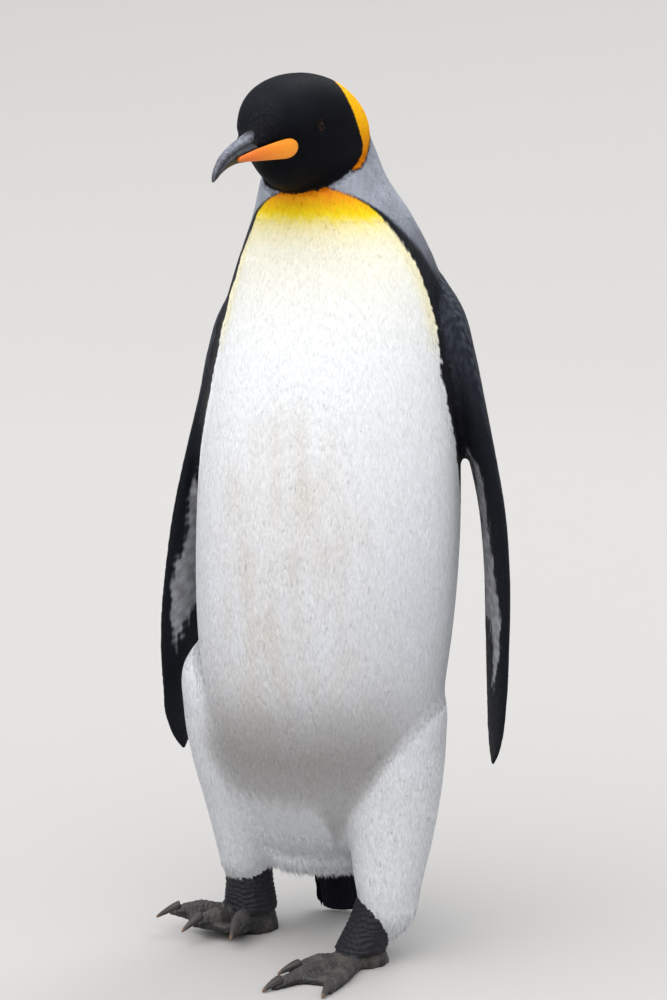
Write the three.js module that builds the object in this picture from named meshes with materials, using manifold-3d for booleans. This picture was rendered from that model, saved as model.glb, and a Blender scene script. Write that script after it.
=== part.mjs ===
// A life-size king penguin, standing with its head turned and one foot ahead of the other.
// Millimetres, +Z up. The bird faces -Y and its left side is +X. Its soles stand at z = 0.
import * as THREE from 'three';
import { mergeVertices } from 'three/addons/utils/BufferGeometryUtils.js';
import Module from 'manifold-3d';

const wasm = await Module();
wasm.setup();

// Driving dimensions.
const GAP = 0.3;                 // clear space between one part and the next
const HEAD_TURN = 19;            // degrees that the head looks to the bird's right
const EYE_STATION = new THREE.Vector3(-24, -101, 816);  // between the eyes
const EYE_RADIUS = 8.2;
const EYE_SPACING = 68;          // centre to centre
const EYE_FORWARD = 2;
const NECK_CUT_HEIGHT = 700;     // where the neck is parted from the trunk
const FLIPPER_TURN = 29;         // degrees that a leading edge is turned outwards
const BODY_FULLNESS = 2.15;      // 2 is an ellipse, and more is squarer
const HEAD_FULLNESS = 2.1;

// Trunk and neck sections from the vent to the inside of the head.
const BODY_SECTIONS = [
  { z: 66, x: -24, half: 30, front: 34, back: 76 },
  { z: 75, x: -22, half: 52, front: 12, back: 92 },
  { z: 98, x: -15, half: 70, front: -10, back: 105 },
  { z: 128, x: -11, half: 83, front: -38, back: 113 },
  { z: 165, x: -10, half: 98, front: -72, back: 119 },
  { z: 210, x: -9, half: 110, front: -104, back: 123 },
  { z: 265, x: -8, half: 117, front: -130, back: 124 },
  { z: 335, x: -5, half: 124, front: -144, back: 121 },
  { z: 410, x: -2, half: 127, front: -147, back: 116 },
  { z: 480, x: 0, half: 126, front: -142, back: 110 },
  { z: 550, x: 2, half: 122, front: -132, back: 103 },
  { z: 605, x: 4, half: 115, front: -120, back: 94 },
  { z: 650, x: 6, half: 105, front: -109, back: 82 },
  { z: 694, x: 6, half: 91, front: -99, back: 65 },
  { z: 735, x: 3, half: 73, front: -92, back: 44 },
  { z: 765, x: -1, half: 58, front: -87, back: 26 },
  { z: 795, x: -3, half: 47, front: -70, back: 15 },
  { z: 820, x: -6, half: 38, front: -58, back: 4 },
  { z: 834, x: -8, half: 22, front: -50, back: -12 },
];

// Head sections along the line of sight, from the bill's root back to the nape.
// Forward of the eyes is positive, and top and bottom are heights from the eyes.
const HEAD_SECTIONS = [
  { forward: 66, half: 11.5, top: -9, bottom: -24 },
  { forward: 60, half: 14, top: -4, bottom: -26 },
  { forward: 54, half: 17, top: 5, bottom: -28 },
  { forward: 49, half: 21, top: 18, bottom: -31 },
  { forward: 42, half: 27, top: 31, bottom: -36 },
  { forward: 32, half: 32, top: 38, bottom: -44 },
  { forward: 20, half: 36, top: 42.5, bottom: -52 },
  { forward: 4, half: 40, top: 46, bottom: -58 },
  { forward: -18, half: 44, top: 48, bottom: -62 },
  { forward: -42, half: 47, top: 47, bottom: -62 },
  { forward: -64, half: 47.5, top: 41, bottom: -60 },
  { forward: -83, half: 42, top: 27, bottom: -52 },
  { forward: -96, half: 28, top: 5, bottom: -38 },
  { forward: -100, half: 12, top: -8, bottom: -26 },
];
const CHIN_KEEL = 0.42;          // how far the chin narrows to its keel
const CHIN_BACK = -30;           // the keel runs from here to the bill's root
const CHIN_FRONT = 50;

// Bill sections: reach ahead of the eyes, half width, culmen, mouth line and lower edge.
const BILL_SECTIONS = [
  { forward: 38, half: 15, culmen: 3, mouth: -15, under: -29 },
  { forward: 52, half: 14, culmen: 0, mouth: -17, under: -30 },
  { forward: 70, half: 11.5, culmen: -6.5, mouth: -18.5, under: -30.5 },
  { forward: 88, half: 8.6, culmen: -13.5, mouth: -22.5, under: -32 },
  { forward: 103, half: 6.2, culmen: -20.5, mouth: -28.5, under: -36 },
  { forward: 114, half: 4.2, culmen: -29, mouth: -36, under: -41 },
  { forward: 120, half: 2.4, culmen: -38, mouth: -42, under: -44 },
  { forward: 122, half: 1, culmen: -45.5, mouth: -46.5, under: -47 },
];
const LOWER_BILL_END = 117;      // the lower bill stops behind the hooked tip
const LOWER_BILL_INSET = 0.8;    // it is this much narrower on each side
const LOWER_TIP_INSET = 0.5;
const BILL_ARCH = 0.8;           // below 1, the culmen is rounder

// Bill plate: reach ahead of the eyes, distance from the middle of the head, and height.
const PLATE_BACK = { forward: 28, out: 31.5, up: -17.5 };
const PLATE_FRONT = { forward: 92, out: 7.6, up: -27.5 };
const PLATE_RISE = 10;           // half height at the round back end
const PLATE_THIN = 0.78;         // share of it that is lost towards the front
const PLATE_ROUND = 0.38;        // share of the length that the round end takes
const PLATE_DEPTH = 3.4;
const PLATE_SPLAY = 1.25;        // the plate swings outwards towards the back

const FLIPPER_TRAILING = 0.24;   // thickness of the trailing edge, of the leading edge's

// Left and right flippers along the middle of the blade, from inside the shoulder to the
// tip. The right one hangs closer at the shoulder, and its tip swings back past the flank.
const FLIPPER_SECTIONS = {
  left: [
    { x: 92, y: -8, z: 674, chord: 44, thick: 34 },
    { x: 106, y: -8, z: 645, chord: 74, thick: 46 },
    { x: 121, y: -8, z: 600, chord: 84, thick: 42 },
    { x: 134, y: -6, z: 556, chord: 82, thick: 30 },
    { x: 147, y: -4, z: 506, chord: 76, thick: 20 },
    { x: 157, y: -1, z: 450, chord: 71, thick: 15 },
    { x: 161, y: 3, z: 385, chord: 69, thick: 12 },
    { x: 161, y: 8, z: 315, chord: 64, thick: 10 },
    { x: 160, y: 14, z: 255, chord: 53, thick: 8 },
    { x: 158, y: 20, z: 215, chord: 37, thick: 6 },
    { x: 156, y: 25, z: 192, chord: 14, thick: 4 },
  ],
  right: [
    { x: 72, y: -6, z: 664, chord: 44, thick: 34 },
    { x: 82, y: -6, z: 636, chord: 74, thick: 46 },
    { x: 93, y: -6, z: 600, chord: 84, thick: 42 },
    { x: 105, y: -4, z: 556, chord: 82, thick: 30 },
    { x: 122, y: 0, z: 506, chord: 76, thick: 20 },
    { x: 139, y: 6, z: 445, chord: 71, thick: 15 },
    { x: 151, y: 17, z: 385, chord: 69, thick: 12 },
    { x: 161, y: 30, z: 315, chord: 64, thick: 10 },
    { x: 167, y: 44, z: 255, chord: 53, thick: 8 },
    { x: 171, y: 55, z: 212, chord: 39, thick: 6 },
    { x: 170, y: 64, z: 184, chord: 14, thick: 4 },
  ],
};

// Feathered legs from inside the flank down to the feather hem.
const LEG_SECTIONS = {
  left: [
    { x: 56, y: -2, z: 296, half: 30, deep: 46 },
    { x: 60, y: -6, z: 262, half: 50, deep: 66 },
    { x: 62, y: -12, z: 215, half: 52, deep: 70 },
    { x: 63, y: -19, z: 166, half: 48, deep: 60 },
    { x: 63, y: -25, z: 120, half: 41, deep: 50 },
    { x: 62, y: -31, z: 78, half: 33, deep: 40 },
    { x: 63, y: -33, z: 46, half: 25, deep: 29 },
    { x: 64, y: -34, z: 38, half: 19, deep: 23 },
  ],
  right: [
    { x: -92, y: 4, z: 324, half: 30, deep: 46 },
    { x: -97, y: 5, z: 286, half: 53, deep: 66 },
    { x: -98, y: 8, z: 240, half: 54, deep: 70 },
    { x: -97, y: 16, z: 190, half: 50, deep: 62 },
    { x: -96, y: 26, z: 140, half: 41, deep: 50 },
    { x: -96, y: 35, z: 96, half: 32, deep: 40 },
    { x: -97, y: 38, z: 60, half: 25, deep: 30 },
    { x: -97, y: 39, z: 48, half: 20, deep: 24 },
  ],
};

// Tail, a stiff wedge from inside the rump down to the floor.
const TAIL_SECTIONS = [
  { x: -10, y: 76, z: 176, half: 30, deep: 20 },
  { x: -11, y: 86, z: 140, half: 40, deep: 26 },
  { x: -13, y: 96, z: 100, half: 38, deep: 20 },
  { x: -15, y: 104, z: 60, half: 29, deep: 12 },
  { x: -17, y: 109, z: 24, half: 21, deep: 7 },
  { x: -17, y: 112, z: -6, half: 14, deep: 4 },
];

// Each foot: the ankle, the height of the instep, and the heading, length and tip height
// of each toe. The right foot rests on its heel with its toes lifted.
// A heading is in degrees from straight ahead towards the bird's right.
const FEET = {
  left: {
    ankleTop: { x: 55, y: -36, z: 66 },
    ankle: { x: 38, y: -50, z: 16 },
    instep: 18,
    hindHeading: -85,
    toes: [
      { name: 'inner', heading: 49, length: 92, lift: 2 },
      { name: 'middle', heading: 34, length: 131, lift: 0 },
      { name: 'outer', heading: 7, length: 115, lift: 0 },
    ],
  },
  right: {
    ankleTop: { x: -97, y: 40, z: 78 },
    ankle: { x: -93, y: 34, z: 25 },
    instep: 31,
    hindHeading: -62,
    toes: [
      { name: 'inner', heading: 2, length: 76, lift: 15 },
      { name: 'middle', heading: 38, length: 88, lift: 18 },
      { name: 'outer', heading: 72, length: 96, lift: 19 },
    ],
  },
};
const TOE_HALF_WIDTH = 10.5;
const TOE_HEIGHT = 11;           // near the claw
const TOE_MIDDLE = 0.42;         // height of its widest line, of the toe's height
const TOE_TAPER = 0.3;
const TOE_ROUND_END = 0.35;
const KNUCKLE = 0.12;            // how far the joints stand proud
const KNUCKLE_PITCH = 3.2 * Math.PI;
const CLAW_LENGTH = 24;
const CLAW_HALF_WIDTH = 5.6;
const CLAW_HALF_HEIGHT = 5.2;
const CLAW_ROOT_HEIGHT = 8.6;
const CLAW_TIP_HEIGHT = 2.2;
const CLAW_IN_TOE = 0.45;        // share of the claw that is set in the toe
const WEB_REACH = 0.74;          // share of the toes that the web spans
const WEB_HEIGHT = 7;
const WEB_HOLLOW = 0.42;         // 0.5 would be a straight front edge
const HEEL_HALF_WIDTH = 24;
const TARSUS_HALF_WIDTH = 23;
const TARSUS_HALF_DEPTH = 26;
const TARSUS_TOP = 0.94;         // width at the top, waist and ankle, of the full width
const TARSUS_WAIST = 0.06;
const TARSUS_FLARE = 0.14;
const HEEL_STRETCH = 1.12;
const HEEL_SET_BACK = 4;
const HIND_TOE_LENGTH = 38;
const HIND_TOE_LIFT = 4;

const BLACK_FEATHER = new THREE.MeshStandardMaterial({ color: 0x14161c, roughness: 0.6 });
const GREY_FEATHER = new THREE.MeshStandardMaterial({ color: 0x9296a0, roughness: 0.7 });
const WHITE_FEATHER = new THREE.MeshStandardMaterial({ color: 0xf0f0ec, roughness: 0.7 });
const HORN = new THREE.MeshStandardMaterial({ color: 0x5e6370, roughness: 0.45 });
const ORANGE_HORN = new THREE.MeshStandardMaterial({ color: 0xe88028, roughness: 0.4 });
const FOOT_SKIN = new THREE.MeshStandardMaterial({ color: 0x3a3634, roughness: 0.8 });
const EYE_GLASS = new THREE.MeshStandardMaterial({ color: 0x1a120c, roughness: 0.08 });

const LEFT = 1;
const RIGHT = -1;
const penguin = new THREE.Group();

// A smooth track through the sections: for a value of the leading key it gives the other keys.
function trackOf(sections, lead) {
  const keys = Object.keys(sections[0]).filter((key) => key !== lead);
  const ordered = [...sections].sort((a, b) => a[lead] - b[lead]);
  const stops = ordered.map((section) => section[lead]);
  const values = ordered.flatMap((section) => keys.map((key) => section[key]));
  const track = new THREE.CubicInterpolant(stops, values, keys.length);
  return (stop) => {
    const found = track.evaluate(THREE.MathUtils.clamp(stop, stops[0], stops[stops.length - 1]));
    return Object.fromEntries(keys.map((key, index) => [key, found[index]]));
  };
}

// A closed skin over rings: place(along, angle, spread) gives a point of the ring at along
// (0 to 1), and spread is 0 at the middle of the two end rings.
function skinOver(around, rings, place) {
  const geometry = new THREE.SphereGeometry(1, around, rings + 1);
  const position = geometry.attributes.position;
  const uv = geometry.attributes.uv;
  for (let index = 0; index < position.count; index += 1) {
    const row = Math.round((1 - uv.getY(index)) * (rings + 1));
    const column = Math.floor(index % (around + 1)) % around;
    const along = THREE.MathUtils.clamp((row - 1) / (rings - 1), 0, 1);
    const spread = row === 0 || row === rings + 1 ? 0 : 1;
    const point = place(along, (column / around) * 2 * Math.PI, spread);
    position.setXYZ(index, point.x, point.y, point.z);
  }
  return geometry;
}

// Merges shared corners and turns the faces outwards.
function closed(geometry) {
  geometry.deleteAttribute('normal');
  geometry.deleteAttribute('uv');
  const merged = mergeVertices(geometry, 1e-4);
  const kept = [];
  const index = merged.index.array;
  for (let face = 0; face < index.length; face += 3) {
    const [a, b, c] = [index[face], index[face + 1], index[face + 2]];
    if (a !== b && b !== c && c !== a) kept.push(a, b, c);
  }
  const position = merged.attributes.position;
  const corner = [new THREE.Vector3(), new THREE.Vector3(), new THREE.Vector3()];
  let volume = 0;
  for (let face = 0; face < kept.length; face += 3) {
    corner.forEach((point, side) => point.fromBufferAttribute(position, kept[face + side]));
    volume += corner[0].dot(corner[1].clone().cross(corner[2]));
  }
  if (volume < 0) kept.reverse();
  merged.setIndex(kept);
  return merged;
}

function solid(geometry) {
  const merged = closed(geometry);
  return new wasm.Manifold(new wasm.Mesh({
    numProp: 3,
    vertProperties: new Float32Array(merged.attributes.position.array),
    triVerts: new Uint32Array(merged.index.array),
  }));
}

// The same shape, larger by the gap, to cut a clear seat for it in its neighbour.
function seatFor(geometry, gap = GAP) {
  const merged = closed(geometry.clone());
  merged.computeVertexNormals();
  const position = merged.attributes.position;
  const normal = merged.attributes.normal;
  for (let index = 0; index < position.count; index += 1) {
    position.setXYZ(
      index,
      position.getX(index) + normal.getX(index) * gap,
      position.getY(index) + normal.getY(index) * gap,
      position.getZ(index) + normal.getZ(index) * gap,
    );
  }
  return solid(merged);
}

// A body with a clear seat cut in it for each of the shapes that stand in it.
function seated(body, ...shapes) {
  return shapes.reduce((rest, shape) => rest.subtract(seatFor(shape)).subtract(solid(shape)), body);
}

// The largest lump, without the crumbs that a cut can leave.
function mainLump(body) {
  const lumps = body.decompose();
  return lumps.reduce((best, lump) => (lump.volume() > best.volume() ? lump : best));
}

function add(name, body, material) {
  const { vertProperties, triVerts } = mainLump(body).getMesh();
  const geometry = new THREE.BufferGeometry();
  geometry.setAttribute('position', new THREE.BufferAttribute(new Float32Array(vertProperties), 3));
  geometry.setIndex(new THREE.BufferAttribute(new Uint32Array(triVerts), 1));
  const mesh = new THREE.Mesh(geometry, material.clone());
  mesh.name = name;
  penguin.add(mesh);
}

function block(low, high) {
  const size = new THREE.Vector3().subVectors(high, low);
  const geometry = new THREE.BoxGeometry(size.x, size.y, size.z);
  geometry.translate((low.x + high.x) / 2, (low.y + high.y) / 2, (low.z + high.z) / 2);
  return solid(geometry);
}

// A round section squared a little, so flanks and back are fuller than an ellipse.
function roundness(angle, fullness) {
  const power = 2 / fullness;
  const across = Math.sign(Math.sin(angle)) * Math.abs(Math.sin(angle)) ** power;
  const ahead = Math.sign(Math.cos(angle)) * Math.abs(Math.cos(angle)) ** power;
  return { across, ahead };
}

// Trunk and neck: the belly is fuller than the back.
function bodySkin() {
  const at = trackOf(BODY_SECTIONS, 'z');
  const low = BODY_SECTIONS[0].z;
  const high = BODY_SECTIONS[BODY_SECTIONS.length - 1].z;
  return skinOver(26, 25, (along, angle, spread) => {
    const z = THREE.MathUtils.lerp(low, high, along);
    const { x, half, front, back } = at(z);
    const { across, ahead } = roundness(angle, BODY_FULLNESS);
    const middle = (front + back) / 2;
    const deep = (back - front) / 2;
    return new THREE.Vector3(x + across * half * spread, middle - ahead * deep * spread, z);
  });
}

// From the head's own frame (forward, left, up from between the eyes) to the bird's.
const headFrame = new THREE.Matrix4()
  .makeRotationZ(THREE.MathUtils.degToRad(-HEAD_TURN))
  .setPosition(EYE_STATION);
const inHead = (forward, left, up) => new THREE.Vector3(left, -forward, up).applyMatrix4(headFrame);

function headSkin() {
  const at = trackOf(HEAD_SECTIONS, 'forward');
  const front = HEAD_SECTIONS[0].forward;
  const nape = HEAD_SECTIONS[HEAD_SECTIONS.length - 1].forward;
  return skinOver(22, 15, (along, angle, spread) => {
    const forward = THREE.MathUtils.lerp(front, nape, (1 - Math.cos(Math.PI * along)) / 2);
    const { half, top, bottom } = at(forward);
    const { across, ahead } = roundness(angle, HEAD_FULLNESS);
    const middle = (top + bottom) / 2;
    const tall = (top - bottom) / 2;
    const chin = THREE.MathUtils.smoothstep(forward, CHIN_BACK, CHIN_FRONT);
    const keel = CHIN_KEEL * chin * Math.max(0, -ahead);
    const left = across * half * (1 - keel) * spread;
    return inHead(forward, left, middle + ahead * tall * spread);
  });
}

// One half of the bill: a D section between the mouth line and the outer edge.
function billSkin(edge, end, inset, tipInset) {
  const at = trackOf(BILL_SECTIONS, 'forward');
  const root = BILL_SECTIONS[0].forward;
  return skinOver(12, 10, (along, angle, spread) => {
    const forward = THREE.MathUtils.lerp(root, end, Math.sin((Math.PI / 2) * along));
    const section = at(forward);
    const side = Math.sin(angle);
    const height = Math.max(0, Math.cos(angle)) ** BILL_ARCH;
    const close = forward > PLATE_FRONT.forward ? tipInset : inset;
    const reach = (section.half - close) * spread;
    const from = section.mouth + (edge === 'culmen' ? GAP : -GAP);
    const tallness = section[edge] - from;
    return inHead(forward, side * reach, from + tallness * (spread ? height : 0.5));
  });
}

// The orange plate on each side of the lower bill, a long drop with a round back end.
function plateSkin(side) {
  return skinOver(8, 9, (along, angle, spread) => {
    const reach = (1 - Math.cos(Math.PI * along)) / 2;
    const forward = THREE.MathUtils.lerp(PLATE_BACK.forward, PLATE_FRONT.forward, reach);
    const turned = Math.min(1, along / PLATE_ROUND);
    const drop = Math.max(0.25, Math.sqrt(1 - (1 - turned) ** 2));
    const tall = PLATE_RISE * drop * (1 - PLATE_THIN * reach);
    const splay = (1 - reach) ** PLATE_SPLAY;
    const out = THREE.MathUtils.lerp(PLATE_FRONT.out, PLATE_BACK.out, splay);
    const up = THREE.MathUtils.lerp(PLATE_FRONT.up, PLATE_BACK.up, splay);
    const bulge = Math.sin(angle) * PLATE_DEPTH * drop * spread;
    return inHead(forward, side * (out + bulge), up + Math.cos(angle) * tall * spread);
  });
}

function eyeSkin(side) {
  const eye = new THREE.SphereGeometry(EYE_RADIUS, 10, 8);
  const place = inHead(EYE_FORWARD, side * (EYE_SPACING / 2), 0);
  eye.translate(place.x, place.y, place.z);
  return eye;
}

// A blade: the leading edge is thick and the trailing edge thin.
function flipperSkin(side, sections) {
  const at = trackOf(sections, 'z');
  const high = sections[0].z;
  const low = sections[sections.length - 1].z;
  const turn = THREE.MathUtils.degToRad(FLIPPER_TURN);
  return skinOver(12, 17, (along, angle, spread) => {
    const z = THREE.MathUtils.lerp(high, low, along);
    const { x: mid, y, chord, thick } = at(z);
    const lead = Math.cos(angle) * (chord / 2) * spread;
    const taper = THREE.MathUtils.lerp(FLIPPER_TRAILING, 1, (1 + Math.cos(angle)) / 2);
    const proud = Math.sin(angle) * (thick / 2) * taper * spread;
    const x = mid + lead * Math.sin(turn) + proud * Math.cos(turn);
    return new THREE.Vector3(side * x, y - lead * Math.cos(turn) + proud * Math.sin(turn), z);
  });
}

// A limb whose level sections follow one another down, such as a leg or the tail.
function limbSkin(sections, around, rings, lowest = -Infinity) {
  const at = trackOf(sections, 'z');
  const high = sections[0].z;
  const low = sections[sections.length - 1].z;
  return skinOver(around, rings, (along, angle, spread) => {
    const z = THREE.MathUtils.lerp(high, low, along);
    const { x, y, half, deep } = at(z);
    const level = Math.max(z, lowest);
    const across = Math.sin(angle) * half * spread;
    return new THREE.Vector3(x + across, y - Math.cos(angle) * deep * spread, level);
  });
}

// Heading in degrees towards the bird's right as a flat direction.
function headingOf(degrees) {
  const turn = THREE.MathUtils.degToRad(degrees);
  return new THREE.Vector3(-Math.sin(turn), -Math.cos(turn), 0);
}

// A toe: arched knuckles over the sole, which leaves the floor where the toe is lifted.
function toeSkin(foot, toe, around = 8, rings = 6) {
  const { ankle, instep } = foot;
  const ahead = headingOf(toe.heading);
  const aside = new THREE.Vector3(-ahead.y, ahead.x, 0);
  const length = toe.length - CLAW_LENGTH * (1 - CLAW_IN_TOE);
  return skinOver(around, rings, (along, angle, spread) => {
    const reach = length * along;
    const knuckle = 1 + KNUCKLE * Math.cos(along * KNUCKLE_PITCH);
    const roundEnd = 1 - TOE_ROUND_END * along ** 8;
    const half = TOE_HALF_WIDTH * (1 - TOE_TAPER * along) * roundEnd * knuckle;
    const tall = THREE.MathUtils.lerp(instep, TOE_HEIGHT, along) * roundEnd * knuckle;
    const arch = TOE_MIDDLE + (1 - TOE_MIDDLE) * Math.cos(angle) * spread;
    const up = toe.lift * along + tall * arch;
    const point = new THREE.Vector3(ankle.x, ankle.y, Math.max(0, up));
    point.addScaledVector(ahead, reach);
    return point.addScaledVector(aside, Math.sin(angle) * half * spread);
  });
}

// A claw: curved down from the end of its toe to a blunt point.
function clawSkin(ankle, toe) {
  const ahead = headingOf(toe.heading);
  const aside = new THREE.Vector3(-ahead.y, ahead.x, 0);
  const start = toe.length - CLAW_LENGTH;
  return skinOver(7, 5, (along, angle, spread) => {
    const curve = along ** 1.5;
    const half = CLAW_HALF_WIDTH * (1 - 0.8 * curve);
    const tall = CLAW_HALF_HEIGHT * (1 - 0.72 * curve);
    const droop = THREE.MathUtils.lerp(CLAW_ROOT_HEIGHT, CLAW_TIP_HEIGHT, curve);
    const middle = toe.lift * (1 - 0.3 * along) + droop;
    const point = new THREE.Vector3(ankle.x, ankle.y, 0);
    point.z = Math.max(0, middle + Math.cos(angle) * tall * spread);
    point.addScaledVector(ahead, start + CLAW_LENGTH * along);
    return point.addScaledVector(aside, Math.sin(angle) * half * spread);
  });
}

// The web between two neighbouring toes: a thin slab with a hollowed front edge, which
// rises with the toes.
function webSolid(ankle, first, second) {
  const tip = (toe) => headingOf(toe.heading).multiplyScalar(toe.length * WEB_REACH);
  const [one, two] = [tip(first), tip(second)];
  const middle = one.clone().add(two).multiplyScalar(WEB_HOLLOW);
  const outline = new THREE.Shape();
  outline.moveTo(0, 0);
  outline.lineTo(one.x, one.y);
  outline.quadraticCurveTo(middle.x, middle.y, two.x, two.y);
  outline.closePath();
  const slab = new THREE.ExtrudeGeometry(outline, {
    depth: WEB_HEIGHT,
    bevelEnabled: false,
    curveSegments: 3,
  });
  const slope = (first.lift / first.length + second.lift / second.length) / 2;
  const position = slab.attributes.position;
  for (let index = 0; index < position.count; index += 1) {
    const reach = Math.hypot(position.getX(index), position.getY(index));
    position.setZ(index, position.getZ(index) + slope * reach);
  }
  slab.translate(ankle.x, ankle.y, 0);
  return solid(slab);
}

// The heel pad under the ankle.
function heelSkin(ankle, heading) {
  const height = ankle.z - GAP;
  const ahead = headingOf(heading);
  const aside = new THREE.Vector3(-ahead.y, ahead.x, 0);
  return skinOver(11, 4, (along, angle, spread) => {
    const up = height * along;
    const half = HEEL_HALF_WIDTH * (1 - 0.12 * along ** 2) * spread;
    const point = new THREE.Vector3(ankle.x, ankle.y, up);
    const setBack = HEEL_SET_BACK * (1 - along);
    point.addScaledVector(ahead, Math.cos(angle) * half * HEEL_STRETCH - setBack);
    return point.addScaledVector(aside, Math.sin(angle) * half);
  });
}

function tarsusSkin(foot) {
  const { ankleTop, ankle } = foot;
  return skinOver(14, 6, (along, angle, spread) => {
    const flare = TARSUS_FLARE * along ** 2;
    const waist = TARSUS_TOP - TARSUS_WAIST * Math.sin(Math.PI * along) + flare;
    const wide = TARSUS_HALF_WIDTH * waist;
    const deep = TARSUS_HALF_DEPTH * waist;
    return new THREE.Vector3(
      THREE.MathUtils.lerp(ankleTop.x, ankle.x, along) + Math.sin(angle) * wide * spread,
      THREE.MathUtils.lerp(ankleTop.y, ankle.y, along) - Math.cos(angle) * deep * spread,
      THREE.MathUtils.lerp(ankleTop.z, ankle.z, along),
    );
  });
}

// Bill, plates and eyes first, because the head is cut to seat them.
const upperBill = billSkin('culmen', BILL_SECTIONS[BILL_SECTIONS.length - 1].forward, 0, 0);
const lowerBill = billSkin('under', LOWER_BILL_END, LOWER_BILL_INSET, LOWER_TIP_INSET);
const plates = [plateSkin(LEFT), plateSkin(RIGHT)];
const eyes = [eyeSkin(LEFT), eyeSkin(RIGHT)];
add('bill_upper', seated(solid(upperBill), ...plates), HORN);
add('bill_lower', seated(solid(lowerBill), ...plates), HORN);
add('bill_plate_left', solid(plates[0]), ORANGE_HORN);
add('bill_plate_right', solid(plates[1]), ORANGE_HORN);
add('eye_left', solid(eyes[0]), EYE_GLASS);
add('eye_right', solid(eyes[1]), EYE_GLASS);

const head = headSkin();
add('head', seated(solid(head), upperBill, lowerBill, ...plates, ...eyes), BLACK_FEATHER);

// Neck and trunk are one shape, parted level under the bib.
const everything = 1000;
const body = solid(bodySkin());
const aboveCut = block(
  new THREE.Vector3(-everything, -everything, NECK_CUT_HEIGHT + GAP / 2),
  new THREE.Vector3(everything, everything, everything),
);
const belowCut = block(
  new THREE.Vector3(-everything, -everything, -everything),
  new THREE.Vector3(everything, everything, NECK_CUT_HEIGHT - GAP / 2),
);
add('neck', seated(body.intersect(aboveCut), head), GREY_FEATHER);

const flippers = {
  left: flipperSkin(LEFT, FLIPPER_SECTIONS.left),
  right: flipperSkin(RIGHT, FLIPPER_SECTIONS.right),
};
const legs = {
  left: limbSkin(LEG_SECTIONS.left, 14, 9),
  right: limbSkin(LEG_SECTIONS.right, 14, 9),
};
const tail = limbSkin(TAIL_SECTIONS, 14, 7, 0);
const limbs = [flippers.left, flippers.right, legs.left, legs.right, tail];
add('trunk', seated(body.intersect(belowCut), ...limbs), WHITE_FEATHER);
add('tail', solid(tail), BLACK_FEATHER);

for (const [side, foot] of Object.entries(FEET)) {
  const [inner, middle, outer] = foot.toes;
  const hind = { heading: foot.hindHeading, length: HIND_TOE_LENGTH, lift: HIND_TOE_LIFT };
  const tarsus = tarsusSkin(foot);
  let footSolid = solid(heelSkin(foot.ankle, middle.heading));
  for (const toe of foot.toes) footSolid = footSolid.add(solid(toeSkin(foot, toe)));
  footSolid = footSolid.add(solid(toeSkin(foot, hind, 6, 4)));
  footSolid = footSolid.add(webSolid(foot.ankle, inner, middle));
  footSolid = footSolid.add(webSolid(foot.ankle, middle, outer));
  for (const toe of foot.toes) {
    const claw = clawSkin(foot.ankle, toe);
    footSolid = seated(footSolid, claw);
    add(`claw_${side}_${toe.name}`, solid(claw), HORN);
  }
  add(`flipper_${side}`, solid(flippers[side]), BLACK_FEATHER);
  add(`leg_${side}`, seated(solid(legs[side]), tarsus), WHITE_FEATHER);
  add(`tarsus_${side}`, solid(tarsus), FOOT_SKIN);
  add(`foot_${side}`, seated(footSolid, tarsus), FOOT_SKIN);
}

// The origin is on the floor, under the middle of the whole bird.
const box = new THREE.Box3().setFromObject(penguin);
const centre = box.getCenter(new THREE.Vector3());
penguin.position.set(-centre.x, -centre.y, 0);

export default penguin;
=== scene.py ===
import math
import bpy
import numpy as np
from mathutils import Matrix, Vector
from mathutils.bvhtree import BVHTree


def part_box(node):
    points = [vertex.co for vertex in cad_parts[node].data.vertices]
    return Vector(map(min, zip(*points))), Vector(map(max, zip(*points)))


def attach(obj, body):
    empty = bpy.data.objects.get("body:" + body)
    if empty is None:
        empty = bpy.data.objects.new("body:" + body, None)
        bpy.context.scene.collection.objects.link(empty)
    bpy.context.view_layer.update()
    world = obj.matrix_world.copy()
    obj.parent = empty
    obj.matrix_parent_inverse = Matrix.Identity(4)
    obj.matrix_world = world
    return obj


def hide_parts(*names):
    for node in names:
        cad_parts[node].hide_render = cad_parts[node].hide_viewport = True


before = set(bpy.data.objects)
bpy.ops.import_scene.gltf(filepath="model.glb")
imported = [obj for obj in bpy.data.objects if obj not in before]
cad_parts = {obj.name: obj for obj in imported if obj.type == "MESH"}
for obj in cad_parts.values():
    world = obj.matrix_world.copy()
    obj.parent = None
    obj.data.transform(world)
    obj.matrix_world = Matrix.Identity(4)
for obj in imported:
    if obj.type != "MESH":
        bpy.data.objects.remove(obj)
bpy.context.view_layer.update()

bpy.ops.object.select_all(action="DESELECT")


# The hide. One skin runs from the root of the bill to the feather hems of the legs, under
# all of the plumage. Each part starts as a ball that is drawn out over its sections, then
# they are grown into one body, evened out, and set in by the depth of the coat.
SKIN_CELL = 0.0032
BODY = np.array([  # height; middle, half width, front and back
    [66, -24, 30, 34, 76], [75, -22, 52, 12, 92], [98, -15, 70, -10, 105], [128, -11, 83, -38, 113],
    [165, -10, 98, -72, 119], [210, -9, 110, -104, 123], [265, -8, 117, -130, 124],
    [335, -5, 124, -144, 121], [410, -2, 127, -147, 116], [480, 0, 126, -142, 110],
    [550, 2, 122, -132, 103], [605, 4, 115, -120, 94], [650, 6, 105, -109, 82],
    [694, 6, 91, -99, 65], [735, 3, 73, -92, 44], [765, -2.5, 59.5, -87, 26],
    [795, -4.5, 48.5, -70, 15], [820, -6, 38, -58, -3], [834, -8, 22, -50, -16],
], float)
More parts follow.
